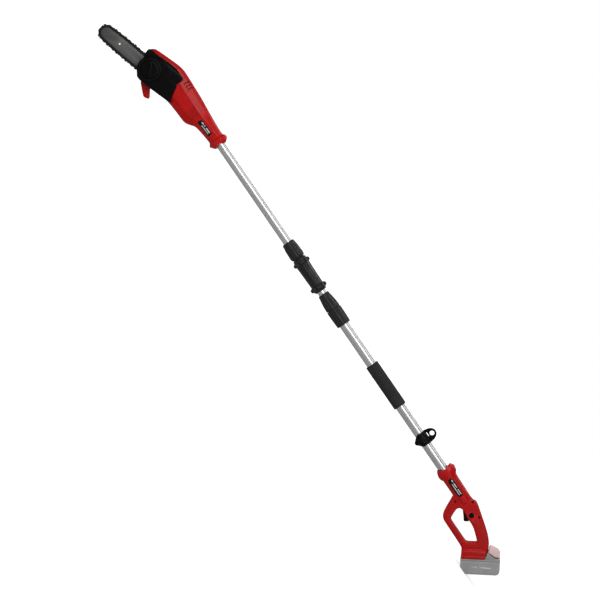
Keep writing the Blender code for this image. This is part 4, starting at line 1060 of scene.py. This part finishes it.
def make_handle_shells():
    body = rounded(softened(HANDLE_OUTER, 1, 0.12), -16.5, 16.5, 5.0, 5.0, 5)
    body = cut(body, flared(softened(HAND_GAP, 1, 0.15), 16.5, 5.0, 5))
    body = join(body, barrel_solid(), *dock_blocks())
    channel = prism(docked(rectangle(-2.2, 5, 90, -10.5)), -26, 26)
    bore = rod((0, 0, 0), X_AXIS, 1200, 1341, LOWER_FIT_R, 64)
    board_room = [(1362, 17), (1385, 13), (1408, 2), (1432, -3), (1455, -11), (1462, -27),
                  (1442, -27), (1425, -19), (1402, -17), (1398, -24), (1350, -15), (1350, 5)]
    board_space = prism(board_room, -12.0, 12.0)
    trigger_slot = prism([(1351, -10), (1351, -33), (1400, -34), (1400, -10)], -7, 7)
    wire_way = block(1335, 1365, -6, 6, -8, 4)
    dock_space = prism(docked(rectangle(-1, -9, 50, -22)), -22, 22)
    wire_drop = prism([(1446, -16), (1466, -24), (1478, -62), (1466, -66), (1446, -26)], -5, 5)
    button_hole = pin(LOCK_BUTTON, -40, 40, 8.4, 48)
    mouth = prism([(1218.5, 6), (1218.5, -3), (1204, -25), (1204, 50)], -40, 40)
    body = cut(body, channel, bore, board_space, trigger_slot, wire_way, dock_space, wire_drop,
               button_hole, mouth)
    for u, h in HANDLE_SCREWS.values():
        body = cut(body, pin((u, h), -60, -11, 3.9), pin((u, h), -20, 9, 1.9, 24))
    body = cut(body, recess(barrel_solid, shifted(HANDLE_LABEL, 0.3), -1, 1.1))
    make_casings("handle", body)
    make_label("handle", "handle", barrel_solid, HANDLE_LABEL, HANDLE_BARS, (0.15, 0.3, 0.45))
    for name, (u, h) in HANDLE_SCREWS.items():
        screw(name, (u, 0, h), Y_AXIS, 8.7, -11.3, -14.0, 1.6, 3.6)


def make_controls():
    outline = [(1352, -18.5), (1353.5, -12), (1358, -9), (1363, -12), (1370, -19), (1391, -21),
               (1393.5, -28.5), (1386, -38.5), (1382, -38.5), (1370, -31), (1354.7, -23)]
    piece("trigger_lever", rounded(softened(outline, 1, 0.15), -6.2, 6.2, 1.8, 1.8), "trigger")
    half = [(-19.5, 5.6), (-19.3, 6.6), (-18.5, 7.6), (-17.6, 8), (-12, 8), (-12, 3.5)]
    button = half + [(-y, radius) for y, radius in reversed(half)]
    body = turned_at(LOCK_BUTTON, button, 64)
    for side in (-1, 1):
        body = cut(body, turned_at(LOCK_BUTTON, [(side * 19.0, 4.4), (side * 21.0, 6.4)], 64))
    piece("lock_off_button_cap", body, "lock_off_button")


# ---- battery ----
def rest_facet():
    """Where the case meets the ground, in the dock's own (a, d)."""
    drop = POLE_HEIGHT + DOCK_CORNER[1]
    front = (-6.0, (drop - 6.0 * math.sin(DOCK_TILT)) / math.cos(DOCK_TILT))
    rear = ((46.7 * math.cos(DOCK_TILT) - drop) / math.sin(DOCK_TILT), 46.7)
    return front, rear


def make_battery():
    half = BATTERY_HALF_WIDTH
    front, rear = rest_facet()
    outline = [(-6, 5.3), front, rear, (104, 46.7), (109.5, 45.4), (113.6, 41.6), (115.9, 35.5),
               (116.5, 28), (116.5, 5.3)]
    case = rounded(docked(outline), -half, half, 3.0, 3.0)
    inner = [(-3.5, 0), (-3.5, 23.8), (11.9, 44.2), (103, 44.2), (109.5, 41.0), (113.5, 31), (113.5, 0)]
    case = cut(case, prism(docked(inner), -half + 3.4, half - 3.4))
    for side in (-1, 1):
        panel = softened([(10, 13), (108, 13), (108, 38), (14, 38)], 2, 0.14)
        y0, y1 = sorted((side * (half - 0.7), side * (half + 5)))
        case = cut(case, prism(docked(panel), y0, y1))
    piece("battery_case_moulding", case, "battery_case")
    rim = eased([(-6, 5.0), (-6, 1.4), (-5, 0.4), (115.5, 0.4), (116.5, 1.4), (116.5, 5.0)], 1, 0.1)
    lid = rounded(docked(rim), -half, half, 1.6, 1.6)
    hump = [(69.5, 1), (70.5, -4), (75.2, -15), (79.9, -28), (80.8, -35), (81.6, -35), (81.6, -17),
            (101, -4.4), (116, -4.4), (116.3, 1)]
    rail = softened([(6, 1), (6, -9.5), (72, -9.5), (72, 1)], 1, 0.08)
    lid = join(lid, bevelled(prism(docked(hump), -31, 31), 1.0, 2),
               rounded(docked(rail), -25, 25, 1.0, 1.0))
    lid = cut(lid, prism(docked(rectangle(4, -2.5, 22, -20)), -18, 18))
    lid = cut(lid, prism(docked(rectangle(101.4, -10, 110.6, 0.8)), -10.6, 10.6))
    piece("battery_lid_moulding", lid, "battery_lid")
    latch = [(82.4, -20), (82, -36.5), (84.5, -39.5), (94, -37.6), (111.6, -28), (115.6, -20), (115.6, -8),
             (101, -8)]
    stem = rectangle(102, -12, 110, -3)
    button = join(bevelled(prism(docked(latch), -30.6, 30.6), 3.0, 4), prism(docked(stem), -10, 10))
    for k in range(4):
        a = 96.0 + 3.2 * k
        d = -36.2 + 1.75 * k
        groove = rectangle(a, d - 3.0, a + 1.2, d + 0.4)
        button = cut(button, prism(docked(groove), -14, 14))
    piece("battery_latch_button", button, "battery_latch")
    strip = softened([(55, 22.6), (90, 24.0), (90, 27.4), (55, 25.2)], 2)
    wedge = softened([(24, 22.6), (38, 22.2), (38, 24.8)], 1)
    dot = softened(rectangle(40, 21.6, 44, 26), 2)
    marks = []
    for side in (-1, 1):
        y0, y1 = sorted((side * (half - 1.0), side * (half - 0.1)))
        marks += [prism(docked(shape), y0, y1) for shape in (strip, wedge, dot)]
    piece("battery_marks", gathered(*marks), look="pale", rides="battery_pack", slot="battery_grey")


# ---- stage, light and camera ----
FRAME_WIDTH_M = 1.86         # what the picture spans at the saw
WHITE = (1.0, 1.0, 1.0, 1.0)


def make_stage():
    floor = bmesh.new()
    bmesh.ops.create_circle(floor, cap_ends=True, segments=128, radius=9.0)
    made = shown("studio_floor", meshed("studio_floor", floor))
    made.location = (0.0, 0.0, -0.0006)
    n = Nodes("studio_floor")
    tone = n.blend(n.span(n.noise(0.8, 2.0), 0.3, 0.7), neutral(0.54), neutral(0.57))
    spread = n.add("ShaderNodeVectorMath", "Value", {0: n.place}, operation="LENGTH")
    brightness = n.span(spread, 1.2, 2.6, 0.72, 1.0)
    seen = n.add("ShaderNodeLightPath", "Is Camera Ray")
    glow = n.add("ShaderNodeMath", "Value", {0: brightness, 1: seen}, operation="MULTIPLY")
    emission = {"Emission Strength": glow, "Emission Color": WHITE}
    n.finish(tone, n.span(n.noise(0.4, 2.0), 0.3, 0.7, 0.8, 0.9), None, 0.0, 0.1, **emission)
    made.data.materials.append(n.material)


def area_light(name, place_m, aim_m, width, height, power):
    light = bpy.data.lights.new(name, "AREA")
    light.shape = "RECTANGLE"
    light.size = width
    light.size_y = height
    light.energy = power
    made = shown(name, light)
    made.location = place_m
    made.rotation_euler = (Vector(aim_m) - Vector(place_m)).to_track_quat("-Z", "Y").to_euler()


def make_light():
    """Soft lights round a white backdrop that itself lights the saw only a little."""
    world = bpy.data.worlds.new("studio")
    bpy.context.scene.world = world
    world.use_nodes = True
    tree = world.node_tree
    backdrop = tree.nodes["Background"]
    fill(tree, backdrop, {"Color": WHITE, "Strength": 1.0})
    ambient = add_node(tree, "ShaderNodeBackground", "Background", {"Color": WHITE, "Strength": 0.14})
    seen = add_node(tree, "ShaderNodeLightPath", "Is Camera Ray")
    shades = {"Fac": seen, 1: ambient, 2: backdrop.outputs["Background"]}
    surface = add_node(tree, "ShaderNodeMixShader", "Shader", shades)
    fill(tree, tree.nodes["World Output"], {"Surface": surface})
    area_light("key", (-0.45, -2.1, 1.35), (-0.1, 0.0, 0.1), 3.0, 1.1, 42.0)
    area_light("top", (0.0, -0.3, 2.5), (0.0, 0.0, 0.1), 3.0, 0.9, 16.0)
    area_light("fill", (1.6, -2.2, 0.5), (0.2, 0.0, 0.1), 1.4, 0.6, 5.0)
    area_light("back", (0.0, 1.9, 2.0), (0.0, 0.0, 0.1), 3.0, 1.2, 26.0)


def make_camera():
    """A long-lens side view from a little above, rolled so that the pole hangs across the picture."""
    elevation = math.radians(4.5)
    roll = math.radians(55.5)
    distance = 9.0
    data = bpy.data.cameras.new("camera")
    data.sensor_width = 36.0
    data.lens = data.sensor_width * distance / FRAME_WIDTH_M
    made = shown("camera", data)
    forward = Vector((0.0, math.cos(elevation), -math.sin(elevation)))
    level_up = Vector((0.0, math.sin(elevation), math.cos(elevation)))
    right = X_AXIS * math.cos(roll) + level_up * math.sin(roll)
    up = level_up * math.cos(roll) - X_AXIS * math.sin(roll)
    target = place((POLE_MIDDLE, 0.0, -70.0))
    spot = target - forward * distance
    made.matrix_world = Matrix((
        (right.x, up.x, -forward.x, spot.x),
        (right.y, up.y, -forward.y, spot.y),
        (right.z, up.z, -forward.z, spot.z),
        (0.0, 0.0, 0.0, 1.0)))
    bpy.context.scene.camera = made


bpy.context.scene.view_settings.view_transform = "Standard"
make_camera()
make_light()
make_stage()
finish_cad_pieces()
make_tubes()
make_union()
make_telescope_clamp()
make_foam_grip()
make_harness_clamp()
make_head_shells()
make_chain_cover()
make_cover_knob()
make_guide_bar()
make_saw_chain()
make_drive_sprocket()
make_oil_cap()
make_handle_shells()
make_controls()
make_battery()
